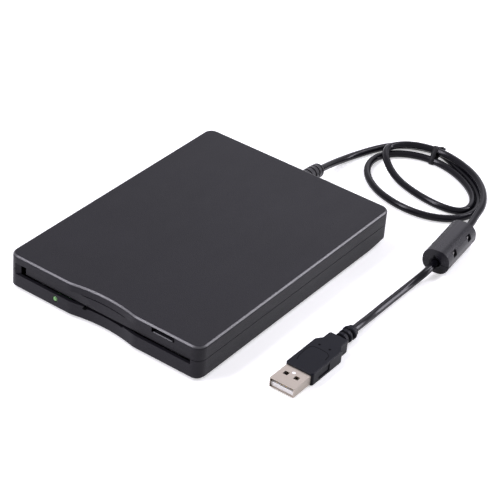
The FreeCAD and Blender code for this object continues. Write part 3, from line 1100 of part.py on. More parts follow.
catches = at_latches("catch", lambda name, y: block(
    name, (f"{HALF_WIDE} - latch_deep + ferrite_gap", f"{HALF_WIDE} - latch_cover"),
    (f"{y} - latch_half + ferrite_gap", f"{y} + latch_half - ferrite_gap"),
    (f"{MID} - latch_deep / 2", f"{MID} + catch_high")))
windows = at_latches("window", lambda name, y: block(
    name, (f"{HALF_WIDE} - latch_deep", "ferrite_width"), (f"{y} - latch_half", f"{y} + latch_half"),
    (f"{MID} + latch_low", f"{MID} + latch_high")))
catch_ways = at_latches("catch_way", lambda name, y: block(
    name, (f"{HALF_WIDE} - latch_deep", f"{HALF_WIDE} - latch_skin"), (f"{y} - latch_half", f"{y} + latch_half"),
    (MID, f"{MID} + latch_high")))
lower_half = cut("lower_half", common("lower_form", ferrite_form, block("lower_half_zone", *ZONE, LOWER_Z)),
                 cavity, cord_way, *mouths, knuckle("lid_knuckle_room", LID_KNUCKLE, "ferrite_gap"))
lid_half = cut("lid_half", common("lid_form", ferrite_form, block("lid_zone", *ZONE, UPPER_Z)),
               cavity, cord_way, *mouths, *windows, *catch_ways,
               *[knuckle(f"lower_knuckle_room_{i}", (f"{y[0]} - ferrite_gap", f"{y[1]} + ferrite_gap"), "ferrite_gap")
                 for i, y in enumerate(LOWER_KNUCKLES)])
lower_knuckles = [cut(f"lower_knuckle_{i}", knuckle(f"lower_knuckle_solid_{i}", y), hinge_bore)
                  for i, y in enumerate(LOWER_KNUCKLES)]
core = cut("core", cavity, cord_way)


def on_ferrite(thing):
    """Move a piece made square to the axes to the ferrite's place on the cord."""
    thing.Placement = FreeCAD.Placement(V(), FreeCAD.Rotation(V(0, 0, 1), 1))
    thing.setExpression("Placement.Rotation.Angle", rule("ferrite_turn"))
    return place(thing, "ferrite_x", "ferrite_y")


node("ferrite_base", on_ferrite(join("ferrite_base", lower_half, *[knuckle(f"base_knuckle_{i}", y) for i, y in enumerate(LOWER_KNUCKLES)],
                                     hinge_pin, *catches)))
node("ferrite_lid", on_ferrite(join("ferrite_lid", lid_half, cut("lid_knuckle", knuckle("lid_knuckle_solid", LID_KNUCKLE), hinge_bore))))
node("base_core", on_ferrite(common("base_core", core, block("base_core_zone", *ZONE, LOWER_Z))))
node("lid_core", on_ferrite(common("lid_core", core, block("lid_core_zone", *ZONE, UPPER_Z))))

# ---------------------------------------------------------------- plug

P_X, P_Z = "plug_x", "plug_height / 2"
P_FRONT = "-plug_front"
P_WIDE_END = "plug_length - plug_front"
P_TAIL_END = "plug_length + plug_tail_length - plug_front"


def around_plug(width):
    return (f"{P_X} - ({width}) / 2", f"{P_X} + ({width}) / 2")


# one outline with sloped shoulders between the wide grip and the narrower tail
plug_form = doc.addObject("PartDesign::Body", "plug_form")
plug_plan = sketch(plug_form, "plug_plan", "XY_Plane")
(WIDE_LEFT, WIDE_RIGHT), (TAIL_LEFT, TAIL_RIGHT) = around_plug("plug_width"), around_plug("plug_tail_width")
P_SHOULDER = f"{P_WIDE_END} + plug_shoulder"
polygon(plug_plan, [(WIDE_LEFT, P_FRONT), (WIDE_RIGHT, P_FRONT), (WIDE_RIGHT, P_WIDE_END), (TAIL_RIGHT, P_SHOULDER),
                    (TAIL_RIGHT, P_TAIL_END), (TAIL_LEFT, P_TAIL_END), (TAIL_LEFT, P_SHOULDER), (WIDE_LEFT, P_WIDE_END)])
pad(plug_form, plug_plan, "plug_pad", "plug_height")
round_edges(plug_form, "plug_corners", "plug_round", upright)
bevel_edges(plug_form, "plug_rims", "plug_edge", lambda edge: edge.BoundBox.ZLength < 0.01)
collar = rod("plug_collar", "y", P_X, (P_TAIL_END, f"{P_TAIL_END} + plug_collar_length"), P_Z, "plug_collar")
rings = [rod(f"plug_ring_{i}", "y", P_X, (f"{P_TAIL_END} + plug_ring_start + {i} * plug_ring_pitch",
                                          f"{P_TAIL_END} + plug_ring_start + {i} * plug_ring_pitch + plug_ring_wide"),
             P_Z, "plug_collar + plug_ring") for i in range(int(size("plug_rings")))]
SHELL_X = around_plug("plug_shell_width")
SHELL_Z = (f"{P_Z} - plug_shell_height / 2", f"{P_Z} + plug_shell_height / 2")
SHELL_Y = ("-plug_front - plug_shell_length", "plug_shell_depth - plug_front")
shell_seat = block("shell_seat", SHELL_X, SHELL_Y, SHELL_Z)
cord_seat = rod("cord_seat", "y", P_X, (P_TAIL_END, f"{P_TAIL_END} + plug_collar_length"), P_Z, "cord_radius")
side_grips = [block(f"side_grip_{i}", x, ("grip_start - plug_front", "grip_start + grip_length - plug_front"),
                    (f"{P_Z} - grip_high / 2", f"{P_Z} + grip_high / 2"))
              for i, x in enumerate([(f"{P_X} - plug_width", f"{P_X} - plug_width / 2 + grip_depth"),
                                     (f"{P_X} + plug_width / 2 - grip_depth", f"{P_X} + plug_width")])]
node("plug_overmould", cut("plug_overmould", join("plug_solid", plug_form, collar, *rings), shell_seat, cord_seat,
                           *side_grips))
inside = block("shell_inside", around_plug("plug_shell_width - 2 * plug_shell_wall"), SHELL_Y,
               (f"{SHELL_Z[0]} + plug_shell_wall", f"{SHELL_Z[1]} - plug_shell_wall"))
HOLE_Y = ("-plug_front - plug_hole_ahead - plug_hole", "-plug_front - plug_hole_ahead")
shell_holes = [block(f"shell_hole_{i}", (f"{P_X} {sign} plug_hole_x - plug_hole / 2", f"{P_X} {sign} plug_hole_x + plug_hole / 2"),
                     HOLE_Y, ("-plug_height", "2 * plug_height")) for i, sign in enumerate("-+")]
node("plug_shell", cut("plug_shell", shell_seat, inside, *shell_holes))
TONGUE_Z = (f"{SHELL_Z[0]} + plug_shell_wall", f"{SHELL_Z[0]} + plug_shell_wall + tongue_height")
TONGUE_Y = (f"{SHELL_Y[0]} + tongue_back", SHELL_Y[1])
node("plug_tongue", block("plug_tongue", around_plug("plug_shell_width - 2 * plug_shell_wall"), TONGUE_Y, TONGUE_Z))
node("plug_contacts", join("plug_contacts", *[block(
    f"contact_{i}", (f"{P_X} + {place_x} - contact_width / 2", f"{P_X} + {place_x} + contact_width / 2"),
    (f"{TONGUE_Y[0]} + contact_back", f"{TONGUE_Y[0]} + contact_back + contact_length"),
    (TONGUE_Z[1], f"{TONGUE_Z[1]} + contact_thick"))
    for i, place_x in enumerate(["-contact_outer", "-contact_inner", "contact_inner", "contact_outer"])]))

# ---------------------------------------------------------------- checks and export

doc.recompute()
for thing in doc.Objects:
    bad = [word for word in thing.State if word in ("Invalid", "Error", "Touched")]
    assert not bad, (thing.Name, thing.State)
for part in NODES:
    shape = part.Shape
    assert shape.isValid() and not shape.isNull() and shape.Volume > 0, part.Label
os.makedirs("parts", exist_ok=True)
for part in NODES:
    part.Shape.exportStep(os.path.join("parts", part.Label + ".step"))
    box = part.Shape.BoundBox
    print(f"{part.Label:18s} {len(part.Shape.Solids)} x {box.XMin:.2f}..{box.XMax:.2f} "
          f"y {box.YMin:.2f}..{box.YMax:.2f} z {box.ZMin:.2f}..{box.ZMax:.2f}")
print(len(NODES), "nodes")
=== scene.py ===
import math

import bmesh
import bpy
from mathutils import Matrix, Vector


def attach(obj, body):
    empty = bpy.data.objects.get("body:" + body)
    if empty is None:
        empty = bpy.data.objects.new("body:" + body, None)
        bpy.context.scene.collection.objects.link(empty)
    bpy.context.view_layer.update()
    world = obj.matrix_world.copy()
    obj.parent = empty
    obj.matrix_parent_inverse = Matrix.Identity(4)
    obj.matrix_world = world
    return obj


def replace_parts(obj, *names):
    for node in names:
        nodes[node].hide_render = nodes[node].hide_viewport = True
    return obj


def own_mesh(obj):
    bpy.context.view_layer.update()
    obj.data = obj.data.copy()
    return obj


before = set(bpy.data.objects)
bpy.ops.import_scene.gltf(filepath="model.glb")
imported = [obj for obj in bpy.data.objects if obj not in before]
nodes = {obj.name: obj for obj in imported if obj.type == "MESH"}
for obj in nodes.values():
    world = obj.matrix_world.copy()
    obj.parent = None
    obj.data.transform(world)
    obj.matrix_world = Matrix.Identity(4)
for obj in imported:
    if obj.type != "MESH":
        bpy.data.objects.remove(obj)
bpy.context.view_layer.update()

mm = 0.001
spindleCentre = (0, -16.5, 0)
print("frame loaded with", len(nodes), "nodes")


class Term:
    # a socket in a formula: each operator adds its Math node
    def __init__(self, finish, socket):
        self.finish, self.socket = finish, socket

    def math(self, operation, *terms):
        return self.finish.add("ShaderNodeMath", {"operation": operation}, dict(enumerate(terms)))

    def __add__(self, other):
        return self.math("ADD", self, other)

    def __radd__(self, other):
        return self.math("ADD", other, self)

    def __sub__(self, other):
        return self.math("SUBTRACT", self, other)

    def __rsub__(self, other):
        return self.math("SUBTRACT", other, self)

    def __mul__(self, other):
        return self.math("MULTIPLY", self, other)

    def __truediv__(self, other):
        return self.math("DIVIDE", self, other)

    def __pow__(self, other):
        return self.math("POWER", self, other)

    def __gt__(self, other):
        return self.math("GREATER_THAN", self, other)

    def __lt__(self, other):
        return self.math("LESS_THAN", self, other)


class Finish:
    # a material or a world: add() makes any node, wear() sets or links the sockets of its surface
    def __init__(self, owner, surface="Principled BSDF"):
        owner.use_nodes = True
        self.owner, self.tree = owner, owner.node_tree
        self.surface = self.tree.nodes[surface]

    def feed(self, socket, value):
        if isinstance(value, Term):
            self.tree.links.new(value.socket, socket)
        elif isinstance(value, tuple) and socket.type == "RGBA":
            socket.default_value = (*value, 1)
        else:
            socket.default_value = value

    def add(self, kind, settings=None, feeds=None, out=0):
        node = self.tree.nodes.new(kind)
        for key, value in (settings or {}).items():
            if key == "stops":
                ramp = node.color_ramp.elements
                for place, level in value[len(ramp):]:
                    ramp.new(place)
                for stop, (place, level) in zip(ramp, value):
                    stop.position, stop.color = place, (level, level, level, 1)
            else:
                setattr(node, key, value)
        for key, value in (feeds or {}).items():
            self.feed(node.inputs[key], value)
        return Term(self, node.outputs[out])

    def wear(self, **sockets):
        for key, value in sockets.items():
            self.feed(self.surface.inputs[key.replace("_", " ")], value)
        return self

    def grid(self, stretch=(1, 1, 1), shift=(0, 0, 0)):
        # the piece's own place in millimetres, moved and then stretched
        spot = self.add("ShaderNodeTexCoord", out="Object")
        spot = self.add("ShaderNodeVectorMath", {"operation": "MULTIPLY_ADD"},
                        {0: spot, 1: (1000, 1000, 1000), 2: tuple(-a for a in shift)})
        return self.add("ShaderNodeVectorMath", {"operation": "MULTIPLY"}, {0: spot, 1: stretch})

    def axes(self, spot):
        return [self.add("ShaderNodeSeparateXYZ", feeds={0: spot}, out=i) for i in range(3)]

    def fromSpindle(self):
        # millimetres from the spindle's centre line
        x, y, z = self.axes(self.grid(shift=spindleCentre))
        return (x * x + y * y) ** 0.5

    def noise(self, size, detail=2, **grid):
        # size is that of one patch, in millimetres
        return self.add("ShaderNodeTexNoise",
                        feeds={"Vector": self.grid(**grid), "Scale": 1 / size, "Detail": detail})

    def cells(self, size):
        return self.add("ShaderNodeTexVoronoi", feeds={"Vector": self.grid(), "Scale": 1 / size})

    def curve(self, value, *stops):
        # grey stops as (place, level)
        return self.add("ShaderNodeValToRGB", {"stops": stops}, {0: value})

    def blend(self, factor, first, second):
        return self.add("ShaderNodeMix", {"data_type": "RGBA"}, {0: factor, 6: first, 7: second}, out=2)

    def relief(self, height, depth):
        # depth in millimetres for a height of one
        return self.add("ShaderNodeBump", feeds={"Strength": 1.0, "Distance": depth * mm, "Height": height})


def material(name):
    return Finish(bpy.data.materials.new(name))


def shade(colour, amount):
    return tuple(min(1, c * amount) for c in colour)


def moulded(name, colour, gloss, grain=0.5, depth=0.02, mottle=0.12, shine=0.5, rubbed=0.0):
    # moulded plastic: a spark-eroded grain, faint flow marks, handling marks; rubbed polishes the upper edges
    made = material(name)
    flow = made.noise(28, 3)
    pits = made.cells(grain)
    fine = made.noise(grain * 0.6, 2)
    marks = made.noise(9, 5, stretch=(1, 0.35, 1))
    dark, pale = shade(colour, 1 - 2 * mottle), shade(colour, 1 + 2 * mottle)
    made.wear(Base_Color=made.blend(flow * 0.4 + fine * 0.6, dark, pale),
              Roughness=gloss + (marks - 0.5) * 0.12 + (fine - 0.5) * 0.1, Specular_IOR_Level=shine,
              Normal=made.relief(pits * 0.6 + fine * 0.8, depth))
    if rubbed:
        # how far the surface faces up, from 0 on the walls to 1 on the flat top
        rise = made.axes(made.add("ShaderNodeTexCoord", out="Normal"))[2]
        made.wear(Coat_Weight=made.curve(rise, (0.38, 0.0), (0.54, rubbed), (0.86, rubbed), (0.95, 0.0)),
                  Coat_Roughness=0.38, Coat_IOR=1.6)
    return made.owner


def metal(name, colour, gloss, lines=(1, 0.04, 1), depth=0.004, stain=0.15):
    # rolled, ground or drawn metal with lines along one axis and a faint tarnish
    made = material(name)
    scratch = made.noise(0.12, 2, stretch=lines)
    cloud = made.noise(7, 4)
    dark, pale = shade(colour, 1 - stain), shade(colour, 1 + stain / 2)
    made.wear(Metallic=1.0, Base_Color=made.blend(cloud, dark, pale),
              Roughness=gloss + (scratch - 0.5) * 0.18 + (cloud - 0.5) * 0.12,
              Normal=made.relief(scratch, depth))
    return made.owner


print("finishes")
plastics = {
    "caseBlack": dict(colour=(0.0098, 0.0092, 0.012), gloss=0.42, grain=0.42, depth=0.05, shine=0.14,
                      mottle=0.25, rubbed=0.95),
    "doorBlack": dict(colour=(0.0105, 0.0098, 0.0125), gloss=0.44, grain=0.42, depth=0.04, shine=0.18),
    "buttonBlack": dict(colour=(0.017, 0.0165, 0.02), gloss=0.4, grain=0.4, depth=0.02, shine=0.5),
    "ferriteShell": dict(colour=(0.0085, 0.008, 0.011), gloss=0.26, grain=0.55, depth=0.03, shine=0.24),
    "reliefSleeve": dict(colour=(0.0125, 0.012, 0.0145), gloss=0.38, grain=0.6, depth=0.015, shine=0.3),
    "plugGrip": dict(colour=(0.0055, 0.006, 0.0095), gloss=0.33, grain=0.35, depth=0.018, shine=0.08),
    "footRubber": dict(colour=(0.012, 0.012, 0.012), gloss=0.75, grain=0.25, depth=0.03),
    "sliderAcetal": dict(colour=(0.62, 0.6, 0.55), gloss=0.4, grain=0.9, depth=0.01, mottle=0.04),
    "carriageGlassFilled": dict(colour=(0.022, 0.022, 0.024), gloss=0.5, grain=0.3, depth=0.02, mottle=0.3),
    "switchMoulding": dict(colour=(0.018, 0.018, 0.018), gloss=0.45, grain=0.4, depth=0.01),
    "pinNatural": dict(colour=(0.7, 0.69, 0.65), gloss=0.35, grain=0.5, depth=0.008, mottle=0.03),
    "tongueWhite": dict(colour=(0.74, 0.73, 0.7), gloss=0.38, grain=0.5, depth=0.006, mottle=0.03),
    "headCeramic": dict(colour=(0.09, 0.085, 0.08), gloss=0.14, grain=0.12, depth=0.001, mottle=0.1),
    "ferriteCore": dict(colour=(0.035, 0.035, 0.038), gloss=0.34, grain=0.25, depth=0.012, mottle=0.2),
    # near-black and barely reflective: for seams and moulded marks, and painted shade in the notch, the key's
    # recess, the plug's grooves and the cord's entry
    "moldLine": dict(colour=(0.003, 0.003, 0.0035), gloss=0.85, grain=0.4, depth=0.01, shine=0.02),
    "partCeramic": dict(colour=(0.24, 0.19, 0.13), gloss=0.4, grain=0.2, depth=0.004, mottle=0.1),
    # pale plates on the latch hooks: a painted highlight
    "hookPale": dict(colour=(0.42, 0.41, 0.4), gloss=0.3, grain=0.5, depth=0.01, mottle=0.06),
}
metals = {
    "screwZinc": dict(colour=(0.46, 0.46, 0.47), gloss=0.32, lines=(1, 1, 1)),
    "frameSheet": dict(colour=(0.6, 0.6, 0.61), gloss=0.34, lines=(0.03, 1, 1)),
    "shieldSheet": dict(colour=(0.64, 0.64, 0.65), gloss=0.3, lines=(1, 0.03, 1)),
    "padTin": dict(colour=(0.66, 0.66, 0.64), gloss=0.3, lines=(1, 1, 1), stain=0.1),
    "rodSteel": dict(colour=(0.66, 0.66, 0.67), gloss=0.16, lines=(1, 0.1, 1), stain=0.05),
    "springWire": dict(colour=(0.5, 0.5, 0.51), gloss=0.28, lines=(1, 1, 1)),
    "bearingBrass": dict(colour=(0.6, 0.42, 0.17), gloss=0.34, lines=(1, 1, 1), depth=0.01),
    "coreLaminate": dict(colour=(0.34, 0.34, 0.36), gloss=0.4, lines=(1, 1, 6)),
    "motorCan": dict(colour=(0.58, 0.58, 0.59), gloss=0.3, lines=(1, 0.05, 1)),
    "contactGold": dict(colour=(0.8, 0.58, 0.24), gloss=0.22, lines=(1, 0.05, 1), stain=0.08),
    "plugNickel": dict(colour=(0.378, 0.334, 0.292), gloss=0.34, lines=(1, 0.05, 1), stain=0.06),
}
finishes = {name: moulded(name, **facts) for name, facts in plastics.items()}
finishes |= {name: metal(name, **facts) for name, facts in metals.items()}


def jacket(name, colour, gloss):
    # extruded jacket or sleeve: nearly smooth, slightly uneven in colour and gloss
    made = material(name)
    waver = made.noise(4, 3)
    fine = made.noise(0.3, 2)
    made.wear(Base_Color=made.blend(waver, shade(colour, 0.85), shade(colour, 1.15)),
              Roughness=gloss + (waver - 0.5) * 0.05 + (fine - 0.5) * 0.02, Specular_IOR_Level=0.15,
              Normal=made.relief(fine, 0.0005))
    return made.owner


def lensGreen():
    # tinted diffuse lens, paler at its domed tip and dark towards its rim, which is painted glow and shade;
    # the tip also gives off a faint painted glow
    made = material("lensGreen")
    x, y, z = made.axes(made.grid(shift=(-25.2, -70.9, 5.5)))
    away = (x * x + z * z) ** 0.5
    centre = made.curve(away / 1.5, (0.0, 1.0), (0.65, 0.55), (1.0, 0.1))
    specks = made.noise(0.3, 2)
    made.wear(Base_Color=made.blend(centre, (0.02, 0.08, 0.02), (0.15, 0.35, 0.105)),
              Roughness=0.2 + specks * 0.1, Emission_Strength=0.1,
              Emission_Color=made.blend(centre, (0, 0, 0), (0.06, 0.16, 0.04)))
    return made.owner


def circuitBoard():
    # solder mask over copper: ground pour, tracks, tinned pads and a drilled via here and there
    made = material("circuitBoard")
    spot = made.grid()
    tracks = made.add("ShaderNodeTexBrick", {"offset": 0.37, "squash": 1.7, "squash_frequency": 3},
                      {"Vector": spot, "Scale": 0.42, "Mortar Size": 0.045, "Brick Width": 1.6,
                       "Row Height": 0.34, "Color1": (0, 0, 0), "Color2": (0, 0, 0), "Mortar": (1, 1, 1)})
    pads = made.cells(1.9)
    pad = (pads < 0.16) * (made.noise(3) > 0.52)
    hole = pads < 0.07
    weave = made.add("ShaderNodeTexWave", {"wave_type": "BANDS", "bands_direction": "DIAGONAL"},
                     {"Vector": spot, "Scale": 1.3, "Distortion": 0.3}, out=1)
    mask = made.blend(tracks, (0.012, 0.085, 0.03), (0.03, 0.15, 0.055))
    mask = made.blend(weave * 0.12, mask, (0.05, 0.16, 0.06))
    made.wear(Base_Color=made.blend(pad, mask, (0.62, 0.6, 0.56)), Metallic=pad, Roughness=0.34 - pad * 0.08,
              Normal=made.relief(tracks * 0.5 + pad - hole, 0.03))
    return made.owner


def chipEpoxy():
    # moulded epoxy package with a fine gritty face
    made = material("chipEpoxy")
    grit = made.noise(0.1, 3)
    smear = made.noise(2.5, 3)
    made.wear(Base_Color=made.blend(smear, (0.011, 0.011, 0.012), (0.02, 0.02, 0.021)),
              Roughness=0.5 + (grit - 0.5) * 0.2, Normal=made.relief(grit, 0.012))
    return made.owner


def copperWinding():
    # enamelled wire laid side by side, so that each coil shows its turns: a bump for each turn, with a
    # painted highlight on its crest and painted shade in the creases between turns
    made = material("copperWinding")
    radial = made.fromSpindle()
    turn = radial.math("SINE", radial * 21.0)
    made.wear(Metallic=1.0, Base_Color=made.blend(turn * 0.5 + 0.5, (0.34, 0.11, 0.035), (0.78, 0.34, 0.13)),
              Roughness=0.3 - turn * 0.06, Normal=made.relief(turn, 0.05))
    return made.owner


def turnedSteel():
    # spun cup and hub: fine rings round the spindle
    made = material("turnedSteel")
    radial = made.fromSpindle()
    rings = made.add("ShaderNodeTexNoise", {"noise_dimensions": "1D"},
                     {"W": radial * 5.0, "Scale": 1.0, "Detail": 4})
    cloud = made.noise(6, 3)
    made.wear(Metallic=1.0, Base_Color=made.blend(cloud, (0.52, 0.52, 0.54), (0.66, 0.66, 0.68)),
              Roughness=0.24 + (rings - 0.5) * 0.2, Normal=made.relief(rings, 0.01))
    return made.owner


def ribbonFilm():
    # amber film over parallel conductors
    made = material("ribbonFilm")
    x = made.axes(made.grid())[0]
    wires = x.math("SINE", x * 8.0) > 0.2
    blotch = made.noise(3, 2)
    made.wear(Base_Color=made.blend(wires, (0.5, 0.27, 0.07), (0.36, 0.15, 0.04)),
              Roughness=0.24 + blotch * 0.12, Coat_Weight=0.5, Coat_Roughness=0.12,
              Normal=made.relief(wires, 0.03))
    return made.owner


finishes |= {"cordJacket": jacket("cordJacket", (0.0055, 0.0052, 0.0075), 0.17),
             "tieSleeve": jacket("tieSleeve", (0.013, 0.013, 0.014), 0.42),
             "lensGreen": lensGreen(), "circuitBoard": circuitBoard(), "chipEpoxy": chipEpoxy(),
             "copperWinding": copperWinding(), "turnedSteel": turnedSteel(), "ribbonFilm": ribbonFilm()}

dressing = {
    "caseBlack": ["top_cover", "bottom_cover"],
    "doorBlack": ["slot_door"],
    "buttonBlack": ["eject_button"],
    "reliefSleeve": ["strain_relief"],
    "lensGreen": ["light_lens"],
    "footRubber": ["foot_front_left", "foot_front_right", "foot_back_left", "foot_back_right"],
    "screwZinc": ["drive_screws", "case_screws"],
    "springWire": ["door_spring", "eject_springs", "lever_spring", "arm_spring"],
    "frameSheet": ["drive_frame", "disk_carrier", "shutter_lever", "upper_arm", "screw_bracket"],
    "shieldSheet": ["drive_shield"],
    "sliderAcetal": ["eject_slider"],
    "rodSteel": ["guide_rods", "arm_pin", "lead_screw", "carrier_pins"],
    "bearingBrass": ["spindle_bearing"],
    "coreLaminate": ["stator_core"],
    "copperWinding": ["stator_windings"],
    "turnedSteel": ["spindle_rotor", "spindle_hub"],
    "motorCan": ["stepper_motor"],
    "carriageGlassFilled": ["head_carriage", "screw_follower"],
    "headCeramic": ["lower_head", "upper_head"],
    "switchMoulding": ["switch_bodies", "track_sensor", "board_sockets"],
    "pinNatural": ["write_protect_pin", "density_pin", "disk_in_pin"],
    "circuitBoard": ["light_board", "drive_board", "usb_board"],
    "chipEpoxy": ["board_chips"],
    "ribbonFilm": ["ribbon_cable"],
    "ferriteShell": ["ferrite_base", "ferrite_lid"],
    "ferriteCore": ["base_core", "lid_core"],
    "plugGrip": ["plug_overmould"],
    "plugNickel": ["plug_shell"],
    "tongueWhite": ["plug_tongue"],
    "contactGold": ["plug_contacts"],
    "tieSleeve": ["cord_tie"],
    "cordJacket": ["cord_case_end", "cord_coil", "cord_plug_end"],
}
for finish, names in dressing.items():
    for name in names:
        mesh = nodes[name].data
        mesh.materials.clear()
        mesh.materials.append(finishes[finish])
print("finishes put on", sum(map(len, dressing.values())), "nodes")


def piece(name, shape, finish, body, smooth=True):
    # a new piece from its points in millimetres, riding on a body
    points, faces = shape
    mesh = bpy.data.meshes.new(name)
    mesh.from_pydata([Vector(p) * mm for p in points], [], faces)
    mesh.validate()
    form = bmesh.new()
    form.from_mesh(mesh)
    bmesh.ops.recalc_face_normals(form, faces=form.faces)
    form.to_mesh(mesh)
    form.free()
    mesh.shade_smooth() if smooth else mesh.shade_flat()
    made = bpy.data.objects.new(name, mesh)
    bpy.context.collection.objects.link(made)
    mesh.materials.append(finishes[finish])
    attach(made, body)
    return made


def around(count):
    # cosine and sine of evenly spaced turns
    return [(math.cos(2 * math.pi * k / count), math.sin(2 * math.pi * k / count)) for k in range(count)]


def strip(first, second, sides):
    # the faces between two rings of points, each given by its first point
    return [(first + k, first + (k + 1) % sides, second + (k + 1) % sides, second + k) for k in range(sides)]


def tube(points, sides):
    # the faces that join rings of points one after another and close both ends
    faces = []
    for first in range(0, len(points) - sides, sides):
        faces += strip(first, first + sides, sides)
    return points, faces + [tuple(range(sides)), tuple(range(len(points) - sides, len(points)))]


def sweep(line, radius, sides=8):
    # a round wire along a line, its frame carried on from point to point
    line = [Vector(p) for p in line]
    points = []
    side = (line[1] - line[0]).orthogonal().normalized()
    for i, spot in enumerate(line):
        ahead = (line[min(i + 1, len(line) - 1)] - line[max(i - 1, 0)]).normalized()
        side = (side - ahead * side.dot(ahead)).normalized()
        other = ahead.cross(side)
        points += [spot + (side * cosine + other * sine) * radius for cosine, sine in around(sides)]
    return tube(points, sides)


def helix(start, end, radius, turns, steps=14):
    # the line of a coil round the axis from start to end
    start, end = Vector(start), Vector(end)
    ahead = (end - start).normalized()
    side = ahead.orthogonal().normalized()
    other = ahead.cross(side)
    count = int(turns * steps)
    return [start.lerp(end, i / count) + (side * math.cos(2 * math.pi * i / steps)
            + other * math.sin(2 * math.pi * i / steps)) * radius for i in range(count + 1)]


def prism(outline, start, end, place=lambda along, a, b: (along, a, b)):
    # a flat outline carried along one axis
    count = len(outline)
    points = [place(along, *spot) for along in (start, end) for spot in outline]
    return points, [tuple(range(count)), tuple(range(count, 2 * count))] + strip(0, count, count)


def upright(z, x, y):
    return x, y, z


def corners(x, y):
    return [(x[0], y[0]), (x[1], y[0]), (x[1], y[1]), (x[0], y[1])]


def box(x, y, z):
    return prism(corners(x, y), *z, upright)


def disc(x, y, radius, z, sides):
    return prism([(x + radius * cosine, y + radius * sine) for cosine, sine in around(sides)], *z, upright)


def spun(profile, centre, sides=36, tall=1.0):
    # a profile of (y, radius) pairs turned round a line along y
    return tube([(centre[0] + radius * cosine, y, centre[1] + tall * radius * sine)
                 for y, radius in profile for cosine, sine in around(sides)], sides)


def together(*parts):
    points, faces = [], []
    for some, sides in parts:
        faces += [tuple(i + len(points) for i in face) for face in sides]
        points += some
    return points, faces


def turned(plan, x, y, z):
    # from a plan's own turned frame to the object's
    turn = math.radians(plan["turn"])
    return (plan["centre"][0] + x * math.cos(turn) - y * math.sin(turn),
            plan["centre"][1] + x * math.sin(turn) + y * math.cos(turn), z)


print("springs and thread")
threadPlan = {"centre": (-24.0, 9.0), "start": 30.75, "end": 48.25, "radius": 1.5, "core": 1.12, "pitch": 3.0,
              "journal": 0.75, "reach": (29.8, 52.15), "steep": 1.8, "flank": 0.3}


def threaded(sides=24, rowsPerPitch=14):
    # rings whose radius rises and falls with the turn, and a plain journal at both ends
    (x, z), pitch = threadPlan["centre"], threadPlan["pitch"]
    first, last = threadPlan["reach"]
    count = round((threadPlan["end"] - threadPlan["start"]) / pitch * rowsPerPitch)
    rows = [(first, False), (threadPlan["start"], False)]
    rows += [(threadPlan["start"] + pitch * i / rowsPerPitch, True) for i in range(count + 1)]
    rows += [(threadPlan["end"], False), (last, False)]
    points = []
    for y, cut in rows:
        for k, (cosine, sine) in enumerate(around(sides)):
            ridge = 0.5 + 0.5 * math.cos(2 * math.pi * (y / pitch - k / sides))
            crest = min(1.0, max(0.0, threadPlan["steep"] * ridge - threadPlan["flank"]))
            depth = threadPlan["radius"] - threadPlan["core"]
            radius = threadPlan["core"] + depth * crest if cut else threadPlan["journal"]
            points.append((x + radius * cosine, y, z + radius * sine))
    return tube(points, sides)


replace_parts(piece("screwThread", threaded(), "rodSteel", "screw"), "lead_screw")

springPlan = {
    "eject": dict(x=43.0, front=32.2, back=49.75, z=12.3, leg=1.4, radius=0.95, wire=0.15, turns=19,
                  keep=0.715, frontHook=[(0.05, 0), (0.5, 0.55), (0.9, 0.55)],
                  backHook=[(0.05, 0), (0.6, 0.55)]),
    "door": dict(start=(-45.0, -68.3, 12.75), end=(-43.2, -68.3, 12.75), radius=0.7, wire=0.12, turns=5),
    "lever": dict(start=(36.0, 0.0, 13.55), end=(36.0, 0.0, 13.95), radius=1.32, wire=0.12, turns=2),
    "arm": dict(start=(2.6, 51.0, 10.5), end=(5.25, 51.0, 10.5), radius=1.15, wire=0.15, turns=6),
}


def coiled(start, end, radius, wire, turns, legs=()):
    return together(sweep(helix(start, end, radius, turns), wire), *(sweep(leg, wire) for leg in legs))


def ejectSpring(x):
    # a coil with a short hooked leg to the chassis in front and to the slider behind
    plan = springPlan["eject"]
    front, back, z, leg = (plan[key] for key in ("front", "back", "z", "leg"))
    inner, outer = (x, front + leg, z), (x, back - leg, z)
    legs = [[(x, front + along, z + up) for along, up in plan["frontHook"]] + [inner],
            [(x, back - along, z + up) for along, up in plan["backHook"]] + [outer]]
    return coiled(inner, outer, plan["radius"], plan["wire"], plan["turns"], legs)


eject = springPlan["eject"]
for side, x in (("Left", -eject["x"]), ("Right", eject["x"])):
    coil = piece("ejectSpring" + side, ejectSpring(x), "springWire", "base")
    x * mm
    eject["front"] * mm
    eject["z"] * mm
    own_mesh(coil)
    if side == "Left":
        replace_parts(coil, "eject_springs")
for name, body in (("door", "base"), ("lever", "carrier"), ("arm", "carriage")):
    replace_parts(piece(name + "Spring", coiled(**springPlan[name]), "springWire", body),
                name + "_spring")

print("board parts")
boardPlan = {
    "level": 5.8, "chips": [(37, 41, 4.5), (27, 50, 2.5), (-13, 64, 3.5)],
    "drive": [(22.5, 36), (25, 36), (27.5, 36), (22.5, 40), (25, 40), (27.5, 40), (22.5, 44), (43.6, 39.5),
              (43.6, 42), (43.6, 44.5), (33, 48.5), (35.5, 48.5), (38, 48.5), (40.5, 48.5), (33, 51.5),
              (35.5, 51.5)],
    "usb": [(-19.5, 61.5), (-19.5, 64), (-7, 61.5), (-7, 64), (9, 61), (12, 61), (15, 61), (18, 61),
            (21, 61)],
}
legPlan = {"pitch": 0.8, "half": 0.15, "near": -0.05, "knee": 0.3, "toe": 0.85, "high": 0.5, "thick": 0.15,
           "foot": 0.13, "margin": 1}
partPlan = {"body": (0.6, 0.4, 0.5), "caps": (-0.92, 0.57), "capWide": 0.35, "capHalf": 0.42, "capHigh": 0.52}


